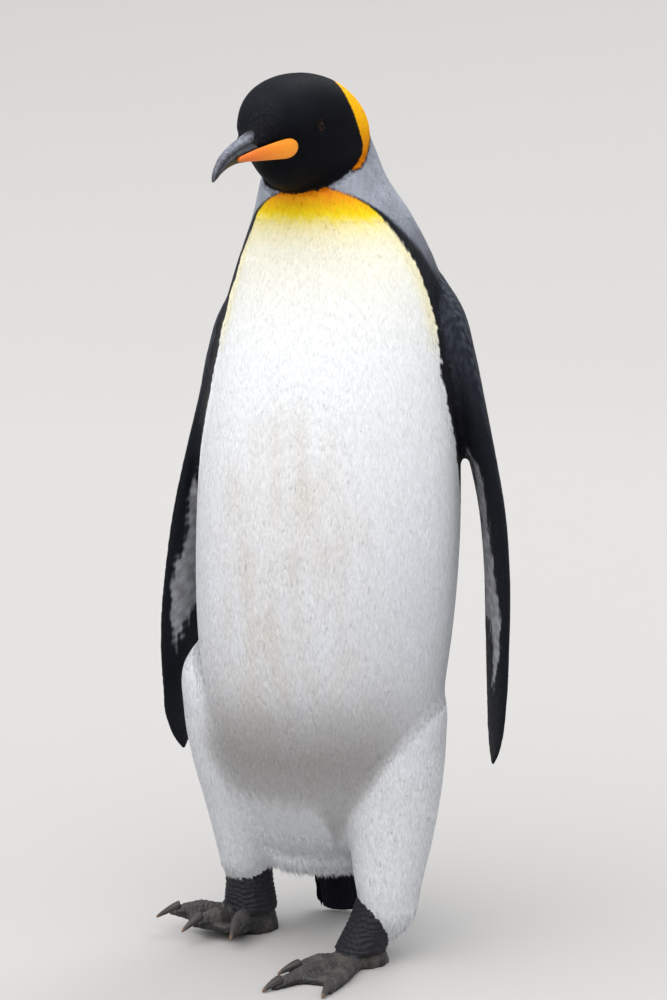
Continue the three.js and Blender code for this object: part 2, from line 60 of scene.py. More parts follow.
HEAD = np.array([  # ahead of the eyes; half width, top and bottom
    [67, 12.4, -8, -24], [60, 15, -4, -26], [54, 16.6, 4.5, -28], [49, 20, 18, -31],
    [42, 26.3, 31, -36], [32, 32, 38, -44], [20, 36, 42.5, -52], [4, 40, 46, -58],
    [-18, 44, 48, -62], [-42, 47, 47, -62], [-64, 47.5, 41, -60], [-83, 42, 27, -52],
    [-96, 28, 5, -38], [-100, 12, -8, -26],
], float)
TAIL = np.array([  # height; middle, half width and half depth
    [176, -10, 76, 30, 20], [140, -11, 86, 40, 26], [100, -13, 96, 38, 20], [60, -15, 104, 29, 12],
    [24, -17, 109, 21, 7], [-6, -17, 112, 14, 4],
], float)
LEGS = [np.array([
    [296, 56, -2, 30, 46], [262, 60, -6, 50, 66], [215, 62, -12, 52, 70], [166, 63, -19, 48, 60],
    [120, 63, -25, 41, 50], [78, 62, -31, 33, 40], [46, 63, -33, 25, 29], [38, 64, -34, 19, 23],
], float), np.array([
    [324, -92, 4, 30, 46], [286, -97, 5, 53, 66], [240, -98, 8, 54, 70], [190, -97, 16, 50, 62],
    [140, -96, 26, 41, 50], [98, -96, 34, 33, 41], [72, -97, 37, 27, 33], [60, -97, 38.5, 23, 27],
], float)]
FLIPPERS = [np.array([  # height; middle, breadth of the blade and thickness
    [674, 91, -8, 44, 34], [645, 103.5, -8, 74, 45], [600, 117, -8, 84, 42], [556, 130, -6, 82, 30],
    [506, 143.5, -4, 76, 20], [450, 155, -1, 71, 15], [385, 160.5, 3, 69, 12],
    [315, 161, 8, 64, 10], [255, 160, 14, 53, 8], [215, 158, 20, 37, 6], [196, 156, 25, 19, 4.5],
    [187, 155, 26, 4, 3],
], float), np.array([
    [664, -71.5, -6, 44, 34], [636, -80.5, -6, 74, 46], [600, -90, -6, 84, 42],
    [556, -102, -4, 82, 30], [506, -118.5, 0, 76, 20], [445, -136, 6, 71, 15],
    [385, -149, 17, 69, 12], [315, -160.5, 30, 64, 10], [255, -167, 44, 53, 8],
    [212, -171, 55, 39, 6], [188, -171, 63, 20, 4.5], [177, -171, 67, 4, 3],
], float)]
BLADE_TURN = math.radians(29)
BLADE_SWELL = 0.0014  # makes the blades thick enough for the cells of the skin
NECK_LINE = 0.6995  # height at which the trunk becomes the neck
HEAD_PLACE = np.array([-24.0, -101.0, 816.0])  # the middle between the eyes in these tables
EYES_BACK = 0.002  # how far that middle lies behind the middle of the eyes' own boxes
(TRUNK_PART, NECK_PART, HEAD_PART, TAIL_PART,
 LEFT_LEG, RIGHT_LEG, LEFT_FLIPPER, RIGHT_FLIPPER) = range(8)
COAT_DEPTH = np.array([1.3, 1.1, 0.7, 1.2, 1.6, 1.6, 0.35, 0.35]) / 1000  # in the same order

eye_left, eye_right = [
    np.add(*map(np.array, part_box(name))) / 2 for name in ("eye_left", "eye_right")]
head_left = (eye_left - eye_right) / np.linalg.norm(eye_left - eye_right)
head_ahead = np.array([head_left[1], -head_left[0], 0.0])
head_centre = (eye_left + eye_right) / 2 - EYES_BACK * head_ahead
shift = head_centre * 1000 - HEAD_PLACE


def points_of(mesh):
    co = np.empty(len(mesh.vertices) * 3, np.float32)
    mesh.vertices.foreach_get("co", co)
    return co.reshape(-1, 3).astype(float)


def normals_of(mesh):
    normal = np.empty(len(mesh.vertices) * 3, np.float32)
    mesh.vertex_normals.foreach_get("vector", normal)
    return normal.reshape(-1, 3).astype(float)


def place_points(mesh, co):
    mesh.vertices.foreach_set("co", np.asarray(co, np.float32).ravel())
    mesh.update()


def swell(mesh, by):
    """Moves each point out along its normal."""
    place_points(mesh, points_of(mesh) + normals_of(mesh) * by)


def only(obj):
    bpy.ops.object.select_all(action="DESELECT")
    obj.select_set(True)
    bpy.context.view_layer.objects.active = obj
    return obj


def added(name, primitive, **settings):
    """A new primitive at the origin, with nothing else selected."""
    bpy.ops.object.select_all(action="DESELECT")
    primitive(location=(0, 0, 0), **settings)
    bpy.context.active_object.name = name
    return bpy.context.active_object


def turn_outward():
    """Turns the new piece's faces outward and shades it smooth."""
    bpy.ops.object.mode_set(mode="EDIT")
    bpy.ops.mesh.select_all(action="SELECT")
    bpy.ops.mesh.normals_make_consistent(inside=False)
    bpy.ops.object.mode_set(mode="OBJECT")
    bpy.ops.object.shade_smooth()


def apply(obj, kind, **settings):
    only(obj)
    modifier = obj.modifiers.new(kind.lower(), kind)
    for key, value in settings.items():
        setattr(modifier, key, value)
    bpy.ops.object.modifier_apply(modifier=modifier.name)


def joined(name, parts):
    bpy.ops.object.select_all(action="DESELECT")
    for part in parts:
        part.select_set(True)
    bpy.context.view_layer.objects.active = parts[0]
    bpy.ops.object.join()
    parts[0].name = name
    return only(parts[0])


def ease(low, high, value):
    t = np.clip((np.asarray(value, float) - low) / (high - low), 0, 1)
    return t * t * (3 - 2 * t)


def flow(table, at):
    """The columns of a table, read on smooth curves between its rows."""
    table = table[np.argsort(table[:, 0])]
    knots, rows = table[:, 0], table[:, 1:]
    slope = np.gradient(rows, knots, axis=0)
    i = np.clip(np.searchsorted(knots, at) - 1, 0, len(knots) - 2)
    step = (knots[i + 1] - knots[i])[:, None]
    t = np.clip((at - knots[i])[:, None] / step, 0, 1)
    near = (1 + 2 * t) * rows[i] + t * step * slope[i]
    far = (3 - 2 * t) * rows[i + 1] - (1 - t) * step * slope[i + 1]
    return ((1 - t) ** 2 * near + t ** 2 * far).T


def run_of(sections, share):
    """The place a share of the way from a table's first section to its last."""
    return sections[0, 0] + (sections[-1, 0] - sections[0, 0]) * share


def moulded(name, around, rings, place):
    """A ball drawn out to a new shape: place takes how far each point is from the first
    pole, 0 to 1, its angle round, and 0 in the middle of either end."""
    obj = added(name, bpy.ops.mesh.primitive_uv_sphere_add,
                segments=around, ring_count=rings + 1, radius=1)
    co = points_of(obj.data)
    row = np.round(np.arccos(np.clip(co[:, 2], -1, 1)) / math.pi * (rings + 1))
    along = np.clip((row - 1) / (rings - 1), 0, 1)
    out = ((row > 0) & (row < rings + 1)).astype(float)
    place_points(obj.data, np.stack(place(along, np.arctan2(co[:, 0], co[:, 1]), out), 1) / 1000)
    turn_outward()
    return obj


def squared(angle, fullness):
    power = 2 / fullness
    sine, cosine = np.sin(angle), np.cos(angle)
    return np.sign(sine) * abs(sine) ** power, np.sign(cosine) * abs(cosine) ** power


def from_head(ahead, left, up):
    """From millimetres ahead of, left of and above the eyes to the bird's own place."""
    flat = head_centre[:2, None] * 1000 + head_ahead[:2, None] * ahead
    flat = flat + head_left[:2, None] * left
    return flat[0], flat[1], head_centre[2] * 1000 + up


def body_skin(along, angle, out):
    z = run_of(BODY, along)
    x, half, front, back = flow(BODY, z)
    across, ahead = squared(angle, 2.15)
    y = (front + back - ahead * (back - front) * out) / 2
    return x + across * half * out + shift[0], y + shift[1], z


def head_skin(along, angle, out):
    ahead = run_of(HEAD, (1 - np.cos(math.pi * along)) / 2)
    half, top, bottom = flow(HEAD, ahead)
    across, high = squared(angle, 2.1)
    keel = 0.42 * ease(-30, 50, ahead) * np.maximum(0, -high)
    up = (top + bottom + high * (top - bottom) * out) / 2
    return from_head(ahead, across * half * (1 - keel) * out, up)


def limb_skin(sections, lowest):
    def place(along, angle, out):
        z = run_of(sections, along)
        x, y, half, deep = flow(sections, z)
        x = x + np.sin(angle) * half * out + shift[0]
        return x, y - np.cos(angle) * deep * out + shift[1], np.maximum(z, lowest)
    return place


def flipper_skin(side, sections):
    def place(along, angle, out):
        z = run_of(sections, along)
        x, y, chord, thick = flow(sections, z)
        lead = np.cos(angle) * chord / 2 * out
        proud = np.sin(angle) * thick / 2 * (0.5 + 0.5 * (1 + np.cos(angle)) / 2) * out
        x = x + side * (lead * math.sin(BLADE_TURN) + proud * math.cos(BLADE_TURN)) + shift[0]
        y = y - lead * math.cos(BLADE_TURN) + proud * math.sin(BLADE_TURN) + shift[1]
        return x, y, z
    return place


def tree_of(obj):
    return BVHTree.FromPolygons(
        [v.co for v in obj.data.vertices], [tuple(p.vertices) for p in obj.data.polygons])


def nearest(tree, points):
    """The nearest place on a surface to each point, and how far it is."""
    found = [tree.find_nearest(point) for point in points]
    return np.array([hit[0] for hit in found]), np.array([hit[3] for hit in found])


def spread(mesh, values, rounds):
    """Evens out one number per point over its neighbours."""
    edge = np.empty(len(mesh.edges) * 2, np.int64)
    mesh.edges.foreach_get("vertices", edge)
    one, two = edge.reshape(-1, 2).T
    count = len(mesh.vertices)
    degree = np.maximum(np.bincount(one, minlength=count) + np.bincount(two, minlength=count), 1)
    for _ in range(rounds):
        total = np.bincount(one, values[two], count) + np.bincount(two, values[one], count)
        values = 0.5 * values + 0.5 * total / degree
    return values


def in_head(points):
    """Millimetres ahead of, left of and above the middle between the eyes."""
    away = (points - head_centre) * 1000
    return away @ head_ahead, away @ head_left, away[:, 2]


parts = [
    moulded("skin", 84, 110, body_skin),
    moulded("head_skin", 64, 54, head_skin),
    moulded("tail_skin", 40, 44, limb_skin(TAIL, 0.4)),
    moulded("leg_left_skin", 44, 50, limb_skin(LEGS[0], 0)),
    moulded("leg_right_skin", 44, 50, limb_skin(LEGS[1], 0)),
    moulded("flipper_left_skin", 44, 120, flipper_skin(1, FLIPPERS[0])),
    moulded("flipper_right_skin", 44, 120, flipper_skin(-1, FLIPPERS[1])),
]
part_labels = np.array(
    [TRUNK_PART, HEAD_PART, TAIL_PART, LEFT_LEG, RIGHT_LEG, LEFT_FLIPPER, RIGHT_FLIPPER])
part_trees = [tree_of(part) for part in parts]
part_reach = [
    (points_of(part.data).min(0) - 0.02, points_of(part.data).max(0) + 0.02) for part in parts]
for blade in parts[5:]:
    swell(blade.data, BLADE_SWELL)
skin = joined("skin", parts)
apply(skin, "REMESH", mode="VOXEL", voxel_size=SKIN_CELL)
at = points_of(skin.data)
away = np.full((len(parts), len(at)), 1.0)
pulled = np.tile(at, (len(parts), 1, 1))
for index, (tree, (low, high)) in enumerate(zip(part_trees, part_reach)):
    close = np.flatnonzero(((at > low) & (at < high)).all(1))
    pulled[index, close], away[index, close] = nearest(tree, at[close])
owner = away.argmin(0)
skin_part = part_labels[owner]
skin_part[(skin_part == TRUNK_PART) & (at[:, 2] > NECK_LINE)] = NECK_PART
on_its_own = np.max([
    spread(skin.data, (owner == index).astype(float), 14) for index in range(len(parts))], 0)
at_neck = spread(skin.data, np.isin(skin_part, (HEAD_PART, NECK_PART)).astype(float), 8)
whole = pulled[owner, np.arange(len(at))]
place_points(skin.data, at + (whole - at) * ease(0.72, 0.97, on_its_own)[:, None])
seam = skin.vertex_groups.new(name="seam")
at_neck = at_neck * ease(-75, -35, in_head(at)[0])
weight = np.clip(ease(0.99, 0.80, on_its_own) * (1 - 0.55 * at_neck), 0.03, 1)
for index, value in enumerate(weight):
    seam.add([index], float(value), "REPLACE")
apply(skin, "SMOOTH", factor=0.5, iterations=70, vertex_group="seam")
skin.vertex_groups.clear()

ahead, _, _ = in_head(points_of(skin.data))
at_bill = (skin_part == HEAD_PART) * ease(38, 56, ahead)
depth = spread(skin.data, COAT_DEPTH[skin_part], 12) * (1 - at_bill) - 0.0003 * at_bill
swell(skin.data, -depth[:, None])
only(skin)
bpy.ops.object.shade_smooth()


# The markings. Black hood, orange ear patch, orange bib that pales into a white front,
# a black edge round the front, a silver nape and a slate back, worked out from where a
# point sits on the bird, so that hide and feathers agree. Light is painted in with them:
# a painted sheen on the crown, painted shadow under the chin, and painted shade down the
# lower front and under the belly.
FRONT_EDGE = np.array([  # height, half angle of the pale front, its twist, the black edge's angle
    [60, 122, 0, 6], [130, 114, 0, 7], [200, 108, 0, 8], [300, 105, 0, 9], [400, 102, -1, 10],
    [450, 91, -7, 11], [500, 78.5, -8.5, 13], [550, 69.5, -6.5, 14], [580, 66.5, -5, 14],
    [602, 66.5, -4, 14], [638, 67.7, -2.7, 14], [676, 67, -0.5, 13], [700, 64, 2, 11],
    [723, 58, 4, 7.5], [734, 53.5, 5, 5], [742, 46.5, 4, 3], [748, 39, 3, 2.3], [753, 29, 2, 2],
    [758, 15, 1, 2], [764, 4, 0, 2],
], float)
# Down the front, the darkest orange at the very top is partly the bib's own deeper orange and
# partly painted shadow under the chin, and the pale tones dim below the chest as painted shade of
# the lower front.
FRONT_TONES = np.array([  # height and colour down the middle of the front
    [764, 0.74, 0.38, 0.0], [757, 0.92, 0.50, 0.0], [750, 1.0, 0.645, 0.0], [744, 1.0, 0.745, 0.0],
    [738, 1.0, 0.82, 0.0], [734, 1.0, 0.865, 0.08], [730, 1.0, 0.905, 0.38], [725, 1.0, 0.94, 0.64],
    [715, 1.0, 0.965, 0.81], [700, 0.99, 0.975, 0.90], [676, 0.975, 0.975, 0.935],
    [640, 0.96, 0.965, 0.955], [600, 0.945, 0.955, 0.965], [500, 0.92, 0.93, 0.945],
    [400, 0.88, 0.89, 0.91], [300, 0.845, 0.855, 0.875], [60, 0.86, 0.87, 0.885],
])
BACK_TONES = np.array([  # height and colour of nape, mantle, back and rump
    [800, 0.58, 0.60, 0.645], [750, 0.625, 0.645, 0.69], [725, 0.57, 0.59, 0.635],
    [700, 0.43, 0.445, 0.49], [660, 0.31, 0.325, 0.365], [500, 0.27, 0.285, 0.32],
    [300, 0.225, 0.235, 0.26], [150, 0.15, 0.155, 0.17], [60, 0.10, 0.10, 0.11],
])
EAR_PATCH = np.array([  # outline seen from the side: ahead of and above the eyes
    [-50, 38.5], [-46.5, 30], [-46.5, 19], [-50, 4], [-55.5, -9], [-62.5, -20], [-61, -28],
    [-54, -35.5], [-44.5, -43], [-56, -39.5], [-65, -32.5], [-77, -20], [-82.5, -10], [-85.2, 1],
    [-84.6, 12], [-80.5, 22.5], [-74, 30.8], [-66, 36.5], [-56, 40],
], float)
HOOD_EDGE = np.array([  # ahead of the eyes, and how low the hood reaches
    [-110, -8], [-92, -8], [-76, -20], [-60, -31], [-48, -40], [-41, -45], [-31, -52],
    [-26, -55.5], [-20, -59], [-12, -61], [80, -64],
], float)
UNDER_WHITE = [np.array([  # height, and how far across the pale underside reaches to each edge
    [264, 0.05, 0.05], [300, -0.12, 0.5], [335, -0.3, 0.5], [350, -2, 0.45],
    [390, -2, 0.22], [430, -0.8, 0.12], [490, -0.7, 0.15], [510, -0.7, -0.3], [525, -0.7, -1.0],
]), np.array([
    [266, 0.3, 0.3], [300, 0.1, 0.58], [332, -0.2, 0.7], [350, -2, 0.66],
    [390, -2, 0.6], [425, -0.8, 0.62], [500, -0.7, 0.6], [530, -0.7, 0.1], [550, -0.7, -1.0],
])]
BLACK = np.array([0.042, 0.047, 0.070])
MARKING_AND_PAINTED_LIGHT = "Plumage"


def track(table, at, column):
    order = np.argsort(table[:, 0])
    return np.interp(at, table[order, 0], table[order, column])


def tones(table, at):
    return np.stack([track(table, at, column) for column in (1, 2, 3)], 1)


def linear(colour):
    """From the colour as the eye names it to the amount of light it returns."""
    colour = np.clip(np.asarray(colour, float), 0, 1)
    return np.where(colour <= 0.04045, colour / 12.92, ((colour + 0.055) / 1.055) ** 2.4)


def mix(one, two, share):
    """One colour or a list of them turned towards the other by each point's share."""
    one, two = np.asarray(one, float), np.asarray(two, float)
    return one + (two - one) * np.asarray(share)[:, None]


def mottle(points, size, seed):
    """An even, cloudy field of about -1 to 1 whose patches are about size across."""
    rng = np.random.default_rng(seed)
    total = 0
    for _ in range(9):
        wave = rng.normal(size=3)
        wave *= 2 * math.pi / (size * rng.uniform(0.7, 1.6) * np.linalg.norm(wave))
        total = total + np.sin(points @ wave + rng.uniform(0, 2 * math.pi))
    return total / 2.1


def within(outline, x, y):
    """How far inside a closed outline each point is, less than 0 outside it."""
    inside = np.zeros(len(x), bool)
    gap = np.full(len(x), 1e9)
    for (ax, ay), (bx, by) in zip(outline, np.roll(outline, -1, 0)):
        crosses = ((ay > y) != (by > y)) & (x < (bx - ax) * (y - ay) / (by - ay + 1e-12) + ax)
        inside ^= crosses
        side = (bx - ax) ** 2 + (by - ay) ** 2
        t = np.clip(((x - ax) * (bx - ax) + (y - ay) * (by - ay)) / side, 0, 1)
        gap = np.minimum(gap, np.hypot(x - ax - t * (bx - ax), y - ay - t * (by - ay)))
    return np.where(inside, gap, -gap)


def girth_at(z):
    """The trunk's middle, half width, front and back at each height."""
    return [track(BODY, z, column) for column in (1, 2, 3, 4)]


def around(points):
    """Degrees round the body from the middle of the front, positive to the left, and the height."""
    z = points[:, 2] * 1000
    middle, _, front, back = girth_at(z)
    x = points[:, 0] * 1000 - middle - shift[0]
    y = points[:, 1] * 1000 - np.maximum((front + back) / 2, -30) - shift[1]
    return np.degrees(np.arctan2(x, -y)), z


def front_edge(angle, z):
    """The angle at which the pale front ends, on the side that the given angle is on."""
    return track(FRONT_EDGE, z, 1) - np.sign(angle) * track(FRONT_EDGE, z, 2)


def beyond(points):
    """How far out from the middle of the trunk each point is, as a part of the way to its hide."""
    middle, half, front, back = girth_at(points[:, 2] * 1000)
    across = (points[:, 0] * 1000 - middle - shift[0]) / half
    return np.hypot(across, (2 * (points[:, 1] * 1000 - shift[1]) - front - back) / (back - front))


def across_flipper(points, left):
    """-1 at the trailing edge to 1 at the leading edge, and more than 0 on the outer face."""
    table, side = (FLIPPERS[0], 1) if left else (FLIPPERS[1], -1)
    z = points[:, 2] * 1000
    x = points[:, 0] * 1000 - shift[0] - track(table, z, 1)
    y = points[:, 1] * 1000 - shift[1] - track(table, z, 2)
    lead = side * x * math.sin(BLADE_TURN) - y * math.cos(BLADE_TURN)
    proud = side * x * math.cos(BLADE_TURN) + y * math.sin(BLADE_TURN)
    return 2 * lead / track(table, z, 3), proud


def stained_and_shaded_front(points, angle, z, normal):
    """The bib and the front below it, with its worn belly, and painted shade where the front turns
    under the belly's overhang.
    """
    front = tones(FRONT_TONES, z + 1.2 * mottle(points, 0.006, 13))
    cloud = 0.5 * mottle(points * [1, 1, 0.3], 0.02, 14)
    cloud = cloud + 0.7 * mottle(points * [1, 1, 0.25], 0.07, 15)
    belly = ease(58, 8, abs(angle + 8)) * ease(610, 470, z) * ease(130, 260, z)
    front = mix(front, [0.79, 0.755, 0.71], np.clip(0.4 + 0.25 * cloud, 0, 1) * belly * 0.6)
    tuft = 46 * (1 - np.exp(-((angle - 17) / 9) ** 2))
    tuft = tuft + 3 * mottle(points * [1, 1, 0.2], 0.008, 23)
    # Painted shade: the front is darkened where it faces down under the belly's overhang, fading
    # out towards the legs and above the vent tuft.
    painted_belly_shade = ease(325, 205, z) * (1 - 0.4 * ease(215, 150, z)) * ease(92, 30, abs(angle + 6))
    painted_belly_shade = painted_belly_shade * ease(0.05, -0.3, normal[:, 2])
    painted_belly_shade = painted_belly_shade * ease(98, 130, z - tuft) * ease(1.16, 1.04, beyond(points))
    return mix(front, [0.55, 0.535, 0.53], 0.7 * painted_belly_shade)


def flipper_tone(points, left, white):
    """The frosted black of a flipper's upper side and the pale field under it."""
    z = points[:, 2] * 1000
    lead, proud = across_flipper(points, left)
    frost = np.clip(0.5 + 0.5 * mottle(points * [1, 1, 0.5], 0.004, 19), 0, 1)
    share = frost * 0.4 * ease(-0.2, 0.5, proud) + (0.3 + 0.4 * frost) * ease(520, 620, z)
    dark = mix([0.075, 0.088, 0.12], [0.25, 0.27, 0.31], share)
    ragged = 0.05 * mottle(points * [1, 1, 0.6], 0.007, 20)
    ragged = ragged + 0.07 * mottle(points * [1, 1, 0.4], 0.03, 22)
    low, high = track(white, z, 1), track(white, z, 2)
    pale = ease(-0.10, 0.12, high - lead + ragged) * ease(-0.2, 0.2, lead - low + 2 * ragged)
    pale = pale * ease(-0.2, -1.3, proud) * (high > low + 0.01)
    pale = pale * ease(1.0, 1.07, beyond(points))
    cloudy = np.clip(0.5 + 0.5 * mottle(points, 0.012, 21), 0, 1)
    return mix(dark, mix([0.76, 0.77, 0.79], [0.64, 0.64, 0.66], cloudy), pale)


def plumage(points, part, normal):
    """The colour of the plumage at each point, as the eye names it, with its painted light and
    shade.
    """
    angle, z = around(points)
    front = stained_and_shaded_front(points, angle, z, normal)
    patchy = 0.02 + 0.03 * ease(740, 680, z)
    patchy = patchy * (mottle(points, 0.0045, 16) + mottle(points, 0.02, 17))
    back = tones(BACK_TONES, z) * (1 + patchy)[:, None]
    edge = front_edge(angle, z) + 14 * np.isin(part, (LEFT_LEG, RIGHT_LEG))
    ragged = 0.4 * mottle(points, 0.005, 11) + 0.6 * mottle(points, 0.03, 12)
    far = abs(angle) - edge + ragged * ease(770, 690, z)
    golden = ease(-13, -1, far) * ease(590, 640, z) * ease(728, 700, z)
    front = mix(front, [1.0, 0.95, 0.74], 0.6 * golden)
    colour = mix(front, BLACK * 1.3, ease(-0.6, 0.6, far))
    soft = ease(765, 690, z)
    past = far - track(FRONT_EDGE, z, 3)
    colour = mix(colour, back, ease(0, 1, (past + 0.6 + 1.9 * soft) / (1.5 + 5.5 * soft)))
    colour = mix(colour, BLACK * 1.6, part == TAIL_PART)

    ahead, left, up = in_head(points)
    near_head = np.isin(part, (HEAD_PART, NECK_PART)) & (up > -75)
    wobble = 0.5 * mottle(points, 0.004, 18)
    # Painted sheen: the crown and forehead are painted a paler grey than the black hood, as light
    # catches them.
    painted_crown_sheen = mix(BLACK, [0.125, 0.13, 0.155], ease(-30, 50, ahead) * ease(-15, 30, up))
    hood_edge = track(HOOD_EDGE, ahead, 1) - 2 * (part == HEAD_PART) * ease(-40, -30, ahead)
    colour = mix(colour, painted_crown_sheen, ease(-0.8, 0.8, up - hood_edge + 0.6 * wobble) * near_head)
    lower = np.where(left < 0, up + 7 * ease(-20, -45, up), up)
    patch = within(EAR_PATCH, ahead, lower)
    orange = mix([0.90, 0.50, 0.01], [1.0, 0.73, 0.02], ease(-42, 10, up))
    beside = near_head * ease(11, 15, abs(left))
    rim = ease(-2.4, -1.2, patch + 0.3 * wobble) * (ahead < -45) * ease(-46, -40, lower)
    colour = mix(colour, BLACK, rim * beside)
    colour = mix(colour, orange, ease(-0.6, 0.6, patch + 0.4 * wobble) * beside)

    for which, white in ((LEFT_FLIPPER, UNDER_WHITE[0]), (RIGHT_FLIPPER, UNDER_WHITE[1])):
        on = part == which
        colour[on] = flipper_tone(points[on], which == LEFT_FLIPPER, white)
    return np.clip(colour, 0.01, 1)


def tint(mesh, colour):
    attribute = mesh.color_attributes.new(MARKING_AND_PAINTED_LIGHT, "FLOAT_COLOR", "POINT")
    full = np.ones((len(colour), 4), np.float32)
    full[:, :3] = linear(colour)
    attribute.data.foreach_set("color", full.ravel())


def surface_of(material):
    return material.node_tree.nodes["Principled BSDF"]


def new_material(name):
    material = bpy.data.materials.new(name)
    material.use_nodes = True
    return material, material.node_tree, surface_of(material)


def fill(node, **inputs):
    """Sets each named input of a node to a value, or joins it to another node's output."""
    for key, value in inputs.items():
        socket = node.inputs[int(key[1:]) if key[0] == "_" else key.replace("_", " ")]
        if isinstance(value, bpy.types.NodeSocket):
            node.id_data.links.new(value, socket)
        else:
            socket.default_value = value


def add_node(tree, kind, operation=None, output=0, **inputs):
    """A new node, with its inputs filled, by the output that the next one takes from it."""
    node = tree.nodes.new("ShaderNode" + kind)
    if operation:
        node.operation = operation
    fill(node, **inputs)
    return node.outputs[output]


def marking_and_light_in(tree):
    """The colour of a piece's own marking, with any light and shade painted into it."""
    marking = add_node(tree, "Attribute", output="Color")
    marking.node.attribute_name = MARKING_AND_PAINTED_LIGHT
    return marking


def tinted(name, scale, low, high, roughness, bump, distance, detail=3.0, gloss=0.3):
    """A surface tinted by its own marking and painted light, with a fine grain of the given scale.
    """
    material, tree, surface = new_material(name)
    place = add_node(tree, "TexCoord", output="Object")
    drawn = add_node(tree, "Mapping", Vector=place, Scale=scale)
    grain = add_node(tree, "TexNoise", Vector=drawn, Scale=1.0, Detail=detail, Roughness=0.6)
    wide = add_node(tree, "MapRange", Value=grain, From_Min=0.3, From_Max=0.7,
                    To_Min=low, To_Max=high)
    toned = add_node(tree, "VectorMath", "SCALE", _0=marking_and_light_in(tree), Scale=wide)
    raised = add_node(tree, "Bump", Height=grain, Strength=bump, Distance=distance)
    fill(surface, Base_Color=toned, Normal=raised, Roughness=roughness, Specular_IOR_Level=gloss)
    return material


def feathered(name, low, roughness, sheen, scale, strength, gloss=0.25):
    """Plumage tinted by the marking under it, painted light and shade included, with fine barbs
    that run down the bird.
    """
    material = tinted(name, scale, low, 1.04, roughness, strength, 0.0008, gloss=gloss)
    fill(surface_of(material), Sheen_Weight=sheen, Sheen_Roughness=0.4)
    return material


def finish_piece(piece, material, slot, *replaced):
    piece.data.materials.clear()
    piece.data.materials.append(material)
    if replaced:
        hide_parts(*replaced)
    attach(piece, "root")


outer = points_of(skin.data) + normals_of(skin.data) * depth[:, None]
tint(skin.data, plumage(outer, skin_part, normals_of(skin.data)) * 0.94)
finish_piece(skin, feathered("down", 0.85, 0.8, 0.0, (700, 700, 90), 0.3), "white_plumage",
             "trunk", "neck", "head", "tail", "flipper_left", "flipper_right",
             "leg_left", "leg_right")


# The bill and its plates. Slate horn in two halves, with a rounded ridge, and a groove
# along each side of the upper one down to its hooked tip. A smooth orange plate lies on
# each side of the lower half. All are rooted in the skull under the feathers of the face.
BILL = np.array([  # ahead of the eyes; half width, ridge, mouth line and underside
    [38, 15, 3, -15, -29], [52, 13.6, 0, -17, -30], [70, 10.8, -6.5, -18.5, -30.5],
    [88, 8.4, -13.5, -22.5, -32], [103, 6.2, -20.5, -28.5, -36], [114, 4.2, -29, -37.2, -41.5],
    [120, 2.6, -38, -43.8, -45], [122, 1, -45.5, -46.5, -47],
], float)
LOWER_LONG = 79
PLATE_LONG = 64


def upper_bill(along, angle, out):
    ahead = run_of(BILL, np.sin(math.pi / 2 * along))
    half, ridge, mouth, _ = flow(BILL, ahead)
    across, high = squared(angle, 1.8)
    share = np.maximum(high, -0.06)
    groove = 0.14 * np.exp(-((share - 0.40) / 0.11) ** 2)
    groove = groove * ease(44, 58, ahead) * ease(121, 112, ahead)
    lip = 1 + 0.06 * np.exp(-(share / 0.12) ** 2)
    reach = np.where(high < 0, 1 - 0.8 * high ** 2, 1)
    across = across * half * (lip - groove) * reach * out
    return from_head(ahead, across, mouth + (ridge - mouth) * share * out)


def lower_bill(along, angle, out):
    ahead = BILL[0, 0] + LOWER_LONG * np.sin(math.pi / 2 * along)
    half, _, mouth, under = flow(BILL, ahead)
    across, high = squared(angle, 1.9)
    share = np.maximum(high, -0.06)
    reach = np.where(high < 0, 1 - 0.8 * high ** 2, 1)
    inset = 0.9 - 0.12 * ease(100, 116, ahead)
    across = across * half * inset * reach * out
    return from_head(ahead, across, mouth - 0.35 - (mouth - under) * share * out)


def bill_plate(side):
    def place(along, angle, out):
        reach = (1 - np.cos(math.pi * along)) / 2
        ahead = 28 + PLATE_LONG * reach
        drop = np.sqrt(np.clip(1 - (1 - np.minimum(1, reach / 0.19)) ** 2, 0.004, 1))
        tall = 9.6 * drop * (1 - 0.79 * reach ** 1.4)
        tall = tall * np.where(reach > 0.97, 1 - (reach - 0.97) * 18, 1)
        splay = (1 - reach) ** 1.25
        deep = 3.5 * drop * (1 - 0.35 * reach)
        lean = 0.9 * np.sin(math.pi * reach)
        out_by = 7.6 + 23.3 * splay + np.sin(angle) * deep * out
        up = -27.5 + 10 * splay + lean + np.cos(angle) * tall * out
        return from_head(ahead, side * out_by, up)
    return place


def horn(name, tone, worn, roughness):
    """Horn with fine lines along it and paler wear."""
    material, tree, surface = new_material(name)
    place = add_node(tree, "TexCoord", output="Object")
    turn = (0, 0, math.atan2(head_ahead[0], head_ahead[1]))
    along = add_node(tree, "Mapping", Vector=place, Rotation=turn)
    drawn = add_node(tree, "VectorMath", "MULTIPLY", _0=along, _1=(900, 120, 900))
    lines = add_node(tree, "TexNoise", Vector=drawn, Scale=1.0, Detail=4.0, Roughness=0.65)
    cloud = add_node(tree, "TexNoise", Vector=place, Scale=160.0, Detail=3.0, Roughness=0.6)
    wear = add_node(tree, "ValToRGB", Fac=add_node(tree, "Math", "MULTIPLY", _0=lines, _1=cloud))
    for index, position, colour in ((0, 0.12, tone), (1, 0.48, worn)):
        wear.node.color_ramp.elements[index].position = position
        wear.node.color_ramp.elements[index].color = (*linear(colour), 1)
    marked = add_node(tree, "VectorMath", "MULTIPLY", _0=wear, _1=marking_and_light_in(tree))
    raised = add_node(tree, "Bump", Height=lines, Strength=0.25, Distance=0.0004)
    fill(surface, Base_Color=marked, Normal=raised, Roughness=roughness, Specular_IOR_Level=0.45)
    return material


